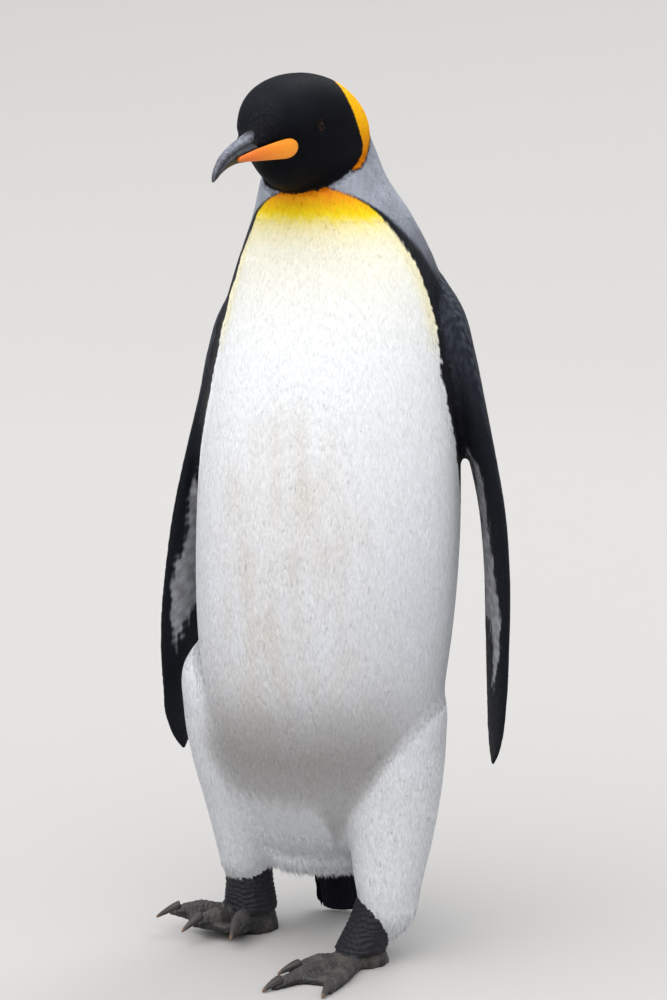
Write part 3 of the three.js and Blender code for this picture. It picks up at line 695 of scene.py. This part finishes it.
slate_horn = horn("slate_horn", (0.20, 0.21, 0.25), (0.60, 0.62, 0.68), 0.32)
olive_horn = horn("olive_horn", (0.19, 0.185, 0.165), (0.44, 0.42, 0.36), 0.42)
for name, made, around_it, rings, material, node in (
        ("bill_top", upper_bill, 64, 90, slate_horn, "bill_upper"),
        ("bill_bottom", lower_bill, 48, 80, olive_horn, "bill_lower")):
    half_bill = moulded(name, around_it, rings, made)
    ahead, _, up = in_head(points_of(half_bill.data))
    mouth = track(BILL, ahead, 3)
    share = (up - mouth) / (track(BILL, ahead, 2) - mouth)
    # Each half is painted paler along its ridge as a painted highlight, and darker in the side
    # groove and along the mouth line as painted shade. It is also darker towards the tip and
    # towards the root.
    groove = np.exp(-((share - 0.40) / 0.13) ** 2) * ease(46, 60, ahead)
    ridge_highlight_and_groove_shade = 0.72 - 0.42 * groove + 0.28 * ease(0.68, 0.92, share)
    ridge_highlight_and_groove_shade = ridge_highlight_and_groove_shade * (1 - 0.4 * ease(0.12, 0.0, share)) * (1 - 0.2 * ease(100, 119, ahead))
    ridge_highlight_and_groove_shade = ridge_highlight_and_groove_shade * (1 - 0.6 * ease(76, 56, ahead))
    tint(half_bill.data, np.tile(ridge_highlight_and_groove_shade[:, None], 3))
    finish_piece(half_bill, material, "horn", node)
plate_horn = tinted("plate_horn", (500, 500, 500), 0.94, 1.03, 0.34, 0.15, 0.0003)
fill(surface_of(plate_horn), Subsurface_Weight=0.12, Subsurface_Radius=(1.0, 0.4, 0.1),
     Subsurface_Scale=0.002)
plates = []
for name, side in (("left", 1), ("right", -1)):
    plate = moulded("plate_" + name, 40, 72, bill_plate(side))
    ahead, _, _ = in_head(points_of(plate.data))
    tone = mix([0.97, 0.60, 0.15], [0.90, 0.46, 0.17], ease(34, 86, ahead))
    tint(plate.data, mix(tone, [0.62, 0.30, 0.10], 0.5 * ease(31.5, 28, ahead)))
    finish_piece(plate, plate_horn, "orange_horn", "bill_plate_" + name)
    plates.append(plate)


# The eyes. A dark brown glass eye with a black pupil is seated in each side of the head,
# inside a thin rim of bare lid that is a little paler below.
EYE_SIZE = 8.2
EYE_AHEAD = 0.16  # radians that each eye looks forward
lid_skin = tinted("lid_skin", (1500, 1500, 1500), 0.85, 1.1, 0.55, 0.3, 0.0003, gloss=0.03)
eye_glass, tree, surface = new_material("eye_glass")
fill(surface, Base_Color=marking_and_light_in(tree), Roughness=0.12, Specular_IOR_Level=0.06,
     Coat_Weight=0.07, Coat_Roughness=0.03)
for name, side, centre in (("left", 1, eye_left), ("right", -1, eye_right)):
    gaze = side * head_left * math.cos(EYE_AHEAD) + head_ahead * math.sin(EYE_AHEAD)
    ball = added("eyeball_" + name, bpy.ops.mesh.primitive_uv_sphere_add,
                 segments=64, ring_count=48, radius=EYE_SIZE / 1000)
    co = points_of(ball.data)
    off = np.degrees(np.arccos(np.clip(co @ gaze / (EYE_SIZE / 1000), -1, 1)))
    co += gaze * (0.0007 * ease(34, 8, off))[:, None]
    place_points(ball.data, co + centre)
    brown = mix([0.13, 0.08, 0.055], [0.07, 0.045, 0.04], ease(26, 40, off))
    tint(ball.data, mix([0.01, 0.01, 0.012], brown, ease(14, 16, off)))
    bpy.ops.object.shade_smooth()
    finish_piece(ball, eye_glass, "eye", "eye_" + name)

    lid = added("lid_" + name, bpy.ops.mesh.primitive_torus_add,
                major_segments=72, minor_segments=16, major_radius=1, minor_radius=0.17)
    co = points_of(lid.data)
    turn = np.arctan2(co[:, 1], co[:, 0])
    corner = 1 + 0.10 * np.exp(-(turn / 0.35) ** 2)
    corner = corner + 0.05 * np.exp(-((abs(turn) - math.pi) / 0.35) ** 2)
    ahead, up = co[:, 0] * 6.6 * corner, co[:, 1] * 5.9
    proud = np.sqrt(np.maximum(EYE_SIZE ** 2 - ahead ** 2 - up ** 2, 4)) + 0.25
    proud += 5.2 * np.where(co[:, 2] > 0, co[:, 2], co[:, 2] * 1.6)
    front = head_ahead - gaze * (head_ahead @ gaze)
    front /= np.linalg.norm(front)
    rim = ahead[:, None] * front + up[:, None] * np.array([0, 0, 1.0]) + proud[:, None] * gaze
    place_points(lid.data, centre + rim / 1000)
    turn_outward()
    pale = ease(0.1, -0.8, co[:, 1]) * ease(0.9, 1.08, np.hypot(co[:, 0], co[:, 1]))
    tint(lid.data, mix([0.045, 0.048, 0.06], [0.125, 0.13, 0.16], pale))
    finish_piece(lid, lid_skin, "black_plumage")


# The plumage of the trunk, neck, head, flippers and legs. Each feather is a short vane with
# a frayed or plain tip. It is set in the hide at its root and lies over the next ones down
# the bird, back over the head, and along the blade of a flipper.
FRAYED = (
    [(0, 0, 0), (-0.85, 0.42, 0.72), (-0.28, 0.46, 0.9), (0.3, 0.44, 0.9), (0.85, 0.4, 0.72),
     (-0.62, 0.86, 0.92), (0.04, 1.0, 1.0), (0.66, 0.9, 0.94)],
    [(0, 2, 1), (0, 3, 2), (0, 4, 3), (1, 2, 5), (2, 3, 6), (3, 4, 7)],
)
PLAIN = (
    [(0, 0, 0), (-1, 0.5, 0.6), (0, 0.58, 0.95), (1, 0.5, 0.6), (0, 1, 1)],
    [(0, 2, 1), (0, 3, 2), (1, 2, 4), (2, 3, 4)],
)
ROOT_DEPTH = 0.0003
PATCH = 0.003  # breadth of a feather's patch on the chart of the hide
EYE_CLEAR = 0.0088
skin_faces = np.empty(len(skin.data.polygons) * 4, np.int64)
skin.data.polygons.foreach_get("vertices", skin_faces)
skin_faces = skin_faces.reshape(-1, 4)
corner_at = points_of(skin.data)[skin_faces]
corner_normal = normals_of(skin.data)[skin_faces]
corner_depth = depth[skin_faces]
face_part = skin_part[skin_faces[:, 0]]
face_centre = corner_at.mean(1)
face_normal = corner_normal.mean(1)
hide_tree = tree_of(skin)


def lie_of(points, part, normal):
    """The way the coat lies: down the body, back over the head, down the blade."""
    ahead, _, up = in_head(points)
    angle, z = around(points)
    down = np.array([0.0, 0.0, -1.0])
    turn = np.maximum(ease(-28, -78, ahead), ease(-22, -58, up))
    turn = turn * (1 - (part == HEAD_PART) * ease(0.0, -0.6, normal[:, 2]))
    back = mix(-head_ahead + np.array([0, 0, -0.18]), down, turn)
    lie = np.where(np.isin(part, (HEAD_PART, NECK_PART))[:, None], back, down)
    tuck = ease(0.0, -0.7, normal[:, 2]) * (part == TRUNK_PART)
    lie = lie + np.array([0, 0.6, 0]) * tuck[:, None]
    fan = np.sign(angle) * 0.10 * ease(5, 50, abs(angle)) * (part < HEAD_PART) * (z > 250)
    lie = lie + np.array([1.0, 0, 0]) * fan[:, None]
    for which, side in ((LEFT_FLIPPER, 1), (RIGHT_FLIPPER, -1)):
        trail = np.array([-side * math.sin(BLADE_TURN), math.cos(BLADE_TURN), 0])
        lie = np.where((part == which)[:, None], down + 0.28 * trail, lie)
    return lie


def sow(mask, share, seed):
    """Roots on the masked faces of the hide, about share to a face, one to each cell of it."""
    rng = np.random.default_rng(seed)
    chosen = np.flatnonzero(mask)
    cells = max(1, math.ceil(math.sqrt(share)))
    face = np.repeat(chosen, cells * cells)
    cell = np.tile(np.arange(cells * cells), len(chosen))
    keep = rng.random(len(face)) < share / cells ** 2
    face, cell = face[keep], cell[keep]
    s = ((cell % cells) + rng.uniform(0.05, 0.95, len(face)))[:, None] / cells
    t = ((cell // cells) + rng.uniform(0.05, 0.95, len(face)))[:, None] / cells
    weights = [(1 - s) * (1 - t), s * (1 - t), s * t, (1 - s) * t]
    root = sum(w * corner_at[face, i] for i, w in enumerate(weights))
    normal = sum(w * corner_normal[face, i] for i, w in enumerate(weights))
    lift = sum(w[:, 0] * corner_depth[face, i] for i, w in enumerate(weights))
    return root, normal / np.linalg.norm(normal, axis=1)[:, None], lift, face_part[face]


def only_roots(roots, keep):
    return tuple(each[keep] for each in roots)


def patch_at(points, part):
    """Where a root falls on the hide unrolled round its long axis, from 0 to 1."""
    turn = np.empty(len(points))
    height = points[:, 2].copy()
    for which in np.unique(part):
        on = part == which
        if which >= LEFT_FLIPPER:
            lead, proud = across_flipper(points[on], which == LEFT_FLIPPER)
            outer = proud > 0
            turn[on] = 0.25 + 0.22 * np.clip(lead, -1, 1) * np.where(outer, 1, -1) + 0.5 * outer
        elif which == HEAD_PART:
            ahead, left, up = in_head(points[on])
            turn[on] = np.arctan2(left, up + 8) / (2 * math.pi) + 0.5
            height[on] = -ahead / 1000
        else:
            x, y, _ = (points[on] - points[on].mean(0)).T
            turn[on] = np.arctan2(x, y) / (2 * math.pi) + 0.5
    level = (height - height.min()) / max(np.ptp(height), 1e-6)
    return np.clip(np.stack([turn, level], 1), PATCH, 1 - PATCH)


def linked(name, data):
    """A new object in the scene."""
    obj = bpy.data.objects.new(name, data)
    bpy.context.scene.collection.objects.link(obj)
    return obj


def grow(name, finish, roots, shape, length, width, seed, stray=5.0, shade=0.08, lift=None,
         lie=None, tip=0.0, grain=0.02, soft=0.8, hug=1.0, wrap=0.0):
    """One piece of coat: a vane at each root, turned a little at random. Its tip leans to the
    hide as far as hug says, and the whole vane is laid on the hide as far as wrap says."""
    root, normal, depth_here, part = roots
    rng = np.random.default_rng(seed)
    count = len(root)
    length = np.broadcast_to(length, count) * rng.uniform(0.85, 1.15, count)
    width = np.broadcast_to(width, count) * rng.uniform(0.85, 1.15, count)
    lift = np.maximum(depth_here, 0.0004) if lift is None else np.broadcast_to(lift, count)
    lift = lift * rng.uniform(0.92, 1.06, count)
    lie = lie_of(root, part, normal) if lie is None else lie
    lie = lie - normal * (lie * normal).sum(1)[:, None]
    lie /= np.maximum(np.linalg.norm(lie, axis=1), 1e-9)[:, None]
    across = np.cross(lie, normal)
    turn = np.radians(rng.normal(0, stray, count))[:, None]
    sine, cosine = np.sin(turn), np.cos(turn)
    lie, across = lie * cosine + across * sine, across * cosine - lie * sine
    end = root + lie * length[:, None]
    touch, _ = nearest(hide_tree, end)
    bend = hug * np.clip(((touch - end) * normal).sum(1), -0.35 * length, 0.35 * length)

    template, faces = (np.array(each) for each in shape)
    side, along, high = template.T
    outward = normal[:, None, :]
    co = root[:, None, :] - outward * ROOT_DEPTH
    co = co + lie[:, None, :] * (along * length[:, None])[:, :, None]
    co = co + across[:, None, :] * (side * width[:, None] / 2)[:, :, None]
    co = co + outward * (along ** 2 * bend[:, None])[:, :, None]
    share = np.broadcast_to(np.asarray(wrap, float), count)
    laid = np.flatnonzero(share > 0)
    if len(laid):
        on_hide = nearest(hide_tree, co[laid].reshape(-1, 3))[0].reshape(len(laid), -1, 3)
        co[laid] += (on_hide - co[laid]) * share[laid][:, None, None]
    every = np.repeat(np.arange(count), len(template))
    colour = plumage(co.reshape(-1, 3), part[every], normal[every]).reshape(count, -1, 3)
    co = co + outward * (high * lift[:, None])[:, :, None]
    tone = rng.normal(0, grain, count)[:, None, None]
    wear = rng.normal(0, grain, (count, len(template)))[:, :, None]
    # Painted shade: each vane darkens towards its root, where the vanes above it lie over it.
    painted_root_shade = (-shade * (1 - np.clip(along / 0.6, 0, 1)))[None, :, None]
    pale = tip * np.clip(2 * along - 1, 0, 1)[None, :, None]

    mesh = bpy.data.meshes.new(name)
    corners = (faces[None] + (np.arange(count) * len(template))[:, None, None]).reshape(-1)
    mesh.vertices.add(count * len(template))
    mesh.loops.add(len(corners))
    mesh.polygons.add(len(corners) // 3)
    mesh.vertices.foreach_set("co", co.astype(np.float32).ravel())
    mesh.loops.foreach_set("vertex_index", corners.astype(np.int32))
    mesh.polygons.foreach_set("loop_start", np.arange(0, len(corners), 3, dtype=np.int32))
    mesh.update(calc_edges=True)
    mesh.validate()
    tint(mesh, (colour * (1 + tone + wear + painted_root_shade) + pale).reshape(-1, 3))
    spot = patch_at(root, part)[:, None, :]
    spot = spot + PATCH / 2 * np.stack([side, 2 * along - 1], 1)[None]
    chart = mesh.uv_layers.new(name="OFBake", do_init=False)
    chart.uv.foreach_set("vector", spot.reshape(-1, 2)[corners].astype(np.float32).ravel())
    coat = only(linked(name, mesh))
    bpy.ops.object.shade_smooth()
    lean = rng.normal(0, 0.05, (count, 3))[:, None, :]
    gentle = outward + lean + (1 - soft) * across[:, None, :] * side[None, :, None]
    gentle = gentle / np.linalg.norm(gentle, axis=2)[:, :, None]
    mesh.normals_split_custom_set_from_vertices(gentle.reshape(-1, 3).tolist())
    finish_piece(coat, *finish)


face_angle, face_z = around(face_centre)
face_ahead, _, face_up = in_head(face_centre)
past_edge = abs(face_angle) - front_edge(face_angle, face_z)
trunk = face_part == TRUNK_PART
neck = face_part == NECK_PART
at_edge = trunk & (past_edge > -5) & (past_edge < 4) & (face_z > 130)
front = trunk & (past_edge < 4) & ~at_edge
back = trunk & (past_edge >= 4)
off_floor = face_normal[:, 2] > -0.75
pale_feather = feathered("pale_feather", 0.93, 0.8, 0.1, (900, 900, 110), 0.2)
dark_feather = feathered("dark_feather", 0.78, 0.55, 0.03, (900, 900, 160), 0.35, gloss=0.12)
hood_feather = feathered("hood_feather", 0.88, 0.55, 0.0, (1100, 1100, 500), 0.15, gloss=0.05)
silk_feather = feathered("silk_feather", 0.93, 0.7, 0.08, (1100, 1100, 200), 0.15)
pale, slate = (pale_feather, "white_plumage"), (dark_feather, "grey_plumage")
silver, black = (silk_feather, "grey_plumage"), (dark_feather, "black_plumage")
FEATHER_BEDS = [  # name, faces, feathers to a face, vane, length, width, pale tip, finish
    ("coat_edge", at_edge, 6.2, PLAIN, 5.5, 1.5, 0, pale),
    ("coat_breast", front & (face_z > 530), 3.4, FRAYED, 12.0, 2.8, 0, pale),
    ("coat_belly", front & (face_z <= 530) & (face_z > 360), 2.9, FRAYED, 13.5, 3.0, 0, pale),
    ("coat_underbelly", front & (face_z <= 360) & (face_z > 230), 2.8, FRAYED, 14.5, 3.0, 0, pale),
    ("coat_vent", front & (face_z <= 230), 2.7, FRAYED, 14.5, 3.0, 0, pale),
    ("coat_mantle", back & (face_z > 480), 2.0, FRAYED, 11.5, 3.2, 0.09, slate),
    ("coat_back", back & (face_z <= 480) & (face_z > 290), 1.8, FRAYED, 13.0, 3.4, 0.07, slate),
    ("coat_rump", back & (face_z <= 290), 1.8, FRAYED, 14.0, 3.4, 0.05, slate),
    ("coat_leg_left", (face_part == LEFT_LEG) & off_floor, 2.3, FRAYED, 14.5, 2.9, 0, pale),
    ("coat_leg_right", (face_part == RIGHT_LEG) & off_floor, 2.3, FRAYED, 14.5, 2.9, 0, pale),
]
for bed, (name, faces, share, vane, length, width, tip, finish) in enumerate(FEATHER_BEDS):
    roots = sow(faces, share, 100 + bed)
    laid = ease(46, 62, abs(around(roots[0])[0])) * (roots[3] == TRUNK_PART)
    grow(name, finish, roots, vane, length / 1000, width / 1000, 200 + bed, tip=tip,
         grain=0.015 + tip / 3, shade=0.02 + tip, wrap=laid)

roots = sow(neck & (face_z <= 740), 4.8, 120)
grow("coat_neck", silver, roots, FRAYED, 0.0085, 0.0026, 220, shade=0.03, grain=0.015, soft=0.9)
hooded = (face_part == HEAD_PART) & (face_ahead < 67)
hooded |= neck & (face_up > np.maximum(-75, track(HOOD_EDGE, face_ahead, 1) - 2))
roots = sow(neck & (face_z > 731) & ~hooded, 7.4, 119)
grow("coat_throat", silver, roots, PLAIN, 0.0052, 0.0015, 219, stray=4, shade=0.02,
     grain=0.015, soft=0.92, wrap=1.0)

roots = sow(hooded, 6.2, 121)
clear = np.linalg.norm(roots[0] - eye_left, axis=1) > EYE_CLEAR
clear &= np.linalg.norm(roots[0] - eye_right, axis=1) > EYE_CLEAR
for plate in plates:
    clear &= nearest(tree_of(plate), roots[0])[1] > 0.0007
roots = only_roots(roots, clear)
ahead, _, up = in_head(roots[0])
fine = 1 - 0.5 * ease(0, 55, ahead)
fine = fine * (0.5 + 0.5 * ease(0, 12, up - track(HOOD_EDGE, ahead, 1)))
grow("coat_hood", (hood_feather, "black_plumage"), roots, PLAIN, 0.0050 * fine, 0.0017 * fine,
     221, stray=4, shade=0.03, soft=0.92, wrap=1.0)

for name, which in (("coat_flipper_left", LEFT_FLIPPER), ("coat_flipper_right", RIGHT_FLIPPER)):
    roots = sow(face_part == which, 2.9, 130 + which)
    grow(name, black, roots, PLAIN, 0.0050, 0.0022, 230 + which, lift=0.0005, stray=4,
         shade=0.12, tip=0.02, soft=0.9, wrap=1.0)


# The longer feathers that hang over the feet and under the vent, and the stiff quills of
# the tail, each with a shaft down its middle, laid over one another down to the floor.
QUILL = (
    [(0, 0, 0), (-0.8, 0.1, 0.3), (0, 0.1, 0.8), (0.8, 0.1, 0.3), (-1, 0.55, 0.5), (0, 0.55, 1),
     (1, 0.55, 0.5), (-0.7, 0.87, 0.6), (0, 0.88, 1), (0.7, 0.85, 0.6), (0, 1, 0.8)], [(0, 2, 1),
     (0, 3, 2), (1, 2, 4), (4, 2, 5), (2, 3, 5), (5, 3, 6), (4, 5, 7), (7, 5, 8), (5, 6, 8),
     (8, 6, 9), (7, 8, 10), (8, 9, 10)],
)
HEM_DEEP = 26
for name, which, hem in (("hem_left", LEFT_LEG, 38), ("hem_right", RIGHT_LEG, 60)):
    roots = sow((face_part == which) & (face_z < hem + HEM_DEEP) & off_floor, 1.8, 140 + which)
    length = 0.014 + 0.012 * ease(hem + HEM_DEEP, hem + 4, roots[0][:, 2] * 1000)
    length *= np.random.default_rng(160 + which).uniform(0.7, 1.3, len(length))
    grow(name, pale, roots, FRAYED, length, 0.0026, 240 + which, stray=12, grain=0.03, hug=0.15)
roots = sow(trunk & (face_z < 122) & (abs(face_angle) < 85), 2.0, 150)
hang = np.array([0.0, 0.25, -1.0]) + 0.25 * roots[1]
length = 0.018 + 0.012 * np.random.default_rng(152).random(len(roots[0]))
grow("vent_tuft", pale, roots, FRAYED, length, 0.0028, 250, stray=14, lie=hang, grain=0.03,
     hug=0, lift=0.003)
roots = sow((face_part == TAIL_PART) & (face_z > 8), 0.22, 151)
tail_axis = np.array([-0.06, 0.19, -1.0])
length = np.minimum(0.046, roots[0][:, 2] * 0.84 - 0.002)
stands = (length > 0.006) & (abs((tail_axis * roots[1]).sum(1)) < 0.45)
roots, length = only_roots(roots, stands), length[stands]
grow("tail_quills", black, roots, QUILL, length, 0.0062, 251, stray=4, lie=tail_axis,
     lift=0.0022, shade=0.3, tip=0.05, grain=0.06, soft=0.5, hug=0.4)


# The shanks and feet. Thick black hide in rings round the shank, and paler, dusty scaled
# skin over the toes and webs, with painted shade on their sides and undersides, all one
# piece of hide on each side.
ANKLES = {"left": (38, -50), "right": (-93, 34)}
SHANK_SWELL = {"left": 0.0014, "right": 0.0030}
FOOT_SWELL = 0.0004
FOOT_CELL = 0.0013
FLOOR_GAP = 0.0002


def copy_of(node, name, by):
    """A copy of a solid, its loose triangles joined and its skin moved out."""
    copy = only(linked(name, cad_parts[node].data.copy()))
    bpy.ops.object.mode_set(mode="EDIT")
    bpy.ops.mesh.select_all(action="SELECT")
    bpy.ops.mesh.remove_doubles(threshold=0.00001)
    bpy.ops.object.mode_set(mode="OBJECT")
    swell(copy.data, by)
    return copy


def from_ankle(co, side):
    """Millimetres from the ankle to each point, seen from above."""
    x, y = ANKLES[side]
    return np.hypot(co[:, 0] * 1000 - x - shift[0], co[:, 1] * 1000 - y - shift[1])


foot_skin = tinted("scaled_skin", (520, 520, 520), 0.72, 1.12, 0.62, 0.55, 0.0007, 5.0)
for side in ("left", "right"):
    sole = copy_of("foot_" + side, "foot_%s_hide" % side, FOOT_SWELL)
    shank = copy_of("tarsus_" + side, "tarsus_%s_hide" % side, SHANK_SWELL[side])
    toe_tree, shank_tree = tree_of(sole), tree_of(shank)
    foot = joined("foot_hide_" + side, [sole, shank])
    apply(foot, "REMESH", mode="VOXEL", voxel_size=FOOT_CELL)
    co = points_of(foot.data)
    shank = (nearest(shank_tree, co)[1] < nearest(toe_tree, co)[1]).astype(float)
    shank = spread(foot.data, shank, 3)
    apply(foot, "SMOOTH", factor=0.5, iterations=14)
    co, normal = points_of(foot.data), normals_of(foot.data)
    z = co[:, 2] * 1000
    ring = np.sin(2 * math.pi * z / 4.6 + 1.5 * mottle(co, 0.02, 30)) * shank
    upper = ease(-0.1, 0.5, normal[:, 2]) * (1 - shank)
    scute = abs(np.sin(math.pi * from_ankle(co, side) / 4.0 + 0.5 * mottle(co, 0.012, 31)))
    bumpy = 0.00040 * ring + 0.00045 * (scute ** 0.5 - 0.7) * upper
    bumpy = bumpy + 0.00025 * mottle(co, 0.0035, 32)
    co = co + normal * bumpy[:, None]
    co[:, 2] = np.maximum(co[:, 2], FLOOR_GAP)
    place_points(foot.data, co)
    # Painted shade: the toes are darker on their sides and undersides, where they face away from
    # the light.
    toes = mix([0.27, 0.26, 0.262], [0.18, 0.172, 0.178], ease(0.3, 0.0, normal[:, 2]))
    toes = mix(toes, [0.40, 0.37, 0.35], 0.5 * np.clip(mottle(co, 0.018, 33), 0, 1))
    toes = toes * (0.74 + 0.26 * ease(0.1, 0.7, scute))[:, None]
    black = 1 + 0.25 * ring + 0.1 * mottle(co, 0.004, 34)
    black = np.array([0.095, 0.096, 0.12]) * black[:, None]
    tint(foot.data, mix(toes, black, shank))
    bpy.ops.object.shade_smooth()
    finish_piece(foot, foot_skin, "foot_skin", "foot_" + side, "tarsus_" + side)


# The claws. Dark horn, curved and blunt, worn brown and paler at the ends, each set in the
# end of its toe.
CLAW_SWELL = 0.0002
claw_horn = tinted("claw_horn", (800, 800, 800), 0.85, 1.1, 0.4, 0.25, 0.0004)
for side in ("left", "right"):
    for toe in ("inner", "middle", "outer"):
        node = "claw_%s_%s" % (side, toe)
        claw = copy_of(node, "nail_%s_%s" % (side, toe), CLAW_SWELL)
        apply(claw, "SUBSURF", levels=2, render_levels=2)
        out = from_ankle(points_of(claw.data), side)
        worn = ease(0.8, 1.0, (out - out.min()) / np.ptp(out))
        tint(claw.data, mix([0.235, 0.222, 0.22], [0.47, 0.36, 0.28], worn))
        bpy.ops.object.shade_smooth()
        finish_piece(claw, claw_horn, "horn", node)


# The floor, a plain pale disc, and a wall that curves up from it all round, far behind
# the bird, both of the same matt paper.
FLOOR_WIDE = 4.3
WALL_WIDE = 4.5
WALL_CURVE = 2.5
WALL_STEPS = 8
paper, _, surface = new_material("pale_floor")
fill(surface, Base_Color=(0.44, 0.43, 0.42, 1), Roughness=0.9)
floor = added("floor", bpy.ops.mesh.primitive_circle_add,
              vertices=96, radius=FLOOR_WIDE, fill_type="NGON")
wall = added("wall", bpy.ops.mesh.primitive_circle_add,
             vertices=96, radius=FLOOR_WIDE, fill_type="NOTHING")
bpy.ops.object.mode_set(mode="EDIT")
bpy.ops.mesh.select_all(action="SELECT")
wide, high = FLOOR_WIDE, 0.0
for step in range(WALL_STEPS + 1):
    turn = step * math.pi / 2 / WALL_STEPS
    new_wide = WALL_WIDE + WALL_CURVE * math.sin(turn)
    new_high = WALL_CURVE * (1 - math.cos(turn))
    bpy.ops.mesh.extrude_region_move(
        TRANSFORM_OT_translate={"value": (0, 0, new_high - high)})
    bpy.ops.transform.resize(
        value=(new_wide / wide, new_wide / wide, 1), center_override=(0, 0, 0))
    wide, high = new_wide, new_high
bpy.ops.object.mode_set(mode="OBJECT")
bpy.ops.object.shade_smooth()
for piece in (floor, wall):
    piece.data.materials.append(paper)


# Soft studio light. A broad lamp stands high ahead of the bird, a gentler one behind it,
# and a pale room fills the shade.
def sun(name, place, strength, width, tone):
    light = bpy.data.lights.new(name, "SUN")
    light.energy = strength
    light.angle = math.radians(width)
    light.color = tone
    lamp = linked(name, light)
    lamp.location = place
    lamp.rotation_euler = (-Vector(place)).to_track_quat("-Z", "Y").to_euler()


sun("key", (-0.45, -1.6, 3.3), 3.0, 80, (1.0, 0.985, 0.96))
sun("rim", (0.8, 2.4, 2.6), 0.8, 30, (1.0, 1.0, 1.0))
world = bpy.data.worlds.new("room")
bpy.context.scene.world = world
world.use_nodes = True
fill(world.node_tree.nodes["Background"], Color=(0.875, 0.905, 0.955, 1), Strength=0.84)
bpy.context.scene.view_settings.view_transform = "Standard"


# The camera stands a little to the bird's left, nearly as high as its head, and looks
# slightly down on it.
CAMERA_TURN = math.radians(12)
CAMERA_PITCH = math.radians(9.36)
CAMERA_AWAY = 2.8
CAMERA_HIGH = 0.912
SENSOR = 24
lens = bpy.data.cameras.new("camera")
lens.sensor_fit = "VERTICAL"
lens.sensor_height = SENSOR
lens.lens = SENSOR * 2.912
camera = linked("camera", lens)
camera.location = (CAMERA_AWAY * math.sin(CAMERA_TURN) + shift[0] / 1000,
                   -CAMERA_AWAY * math.cos(CAMERA_TURN) + shift[1] / 1000, CAMERA_HIGH)
camera.rotation_euler = (math.pi / 2 - CAMERA_PITCH, 0, CAMERA_TURN)
bpy.context.scene.camera = camera
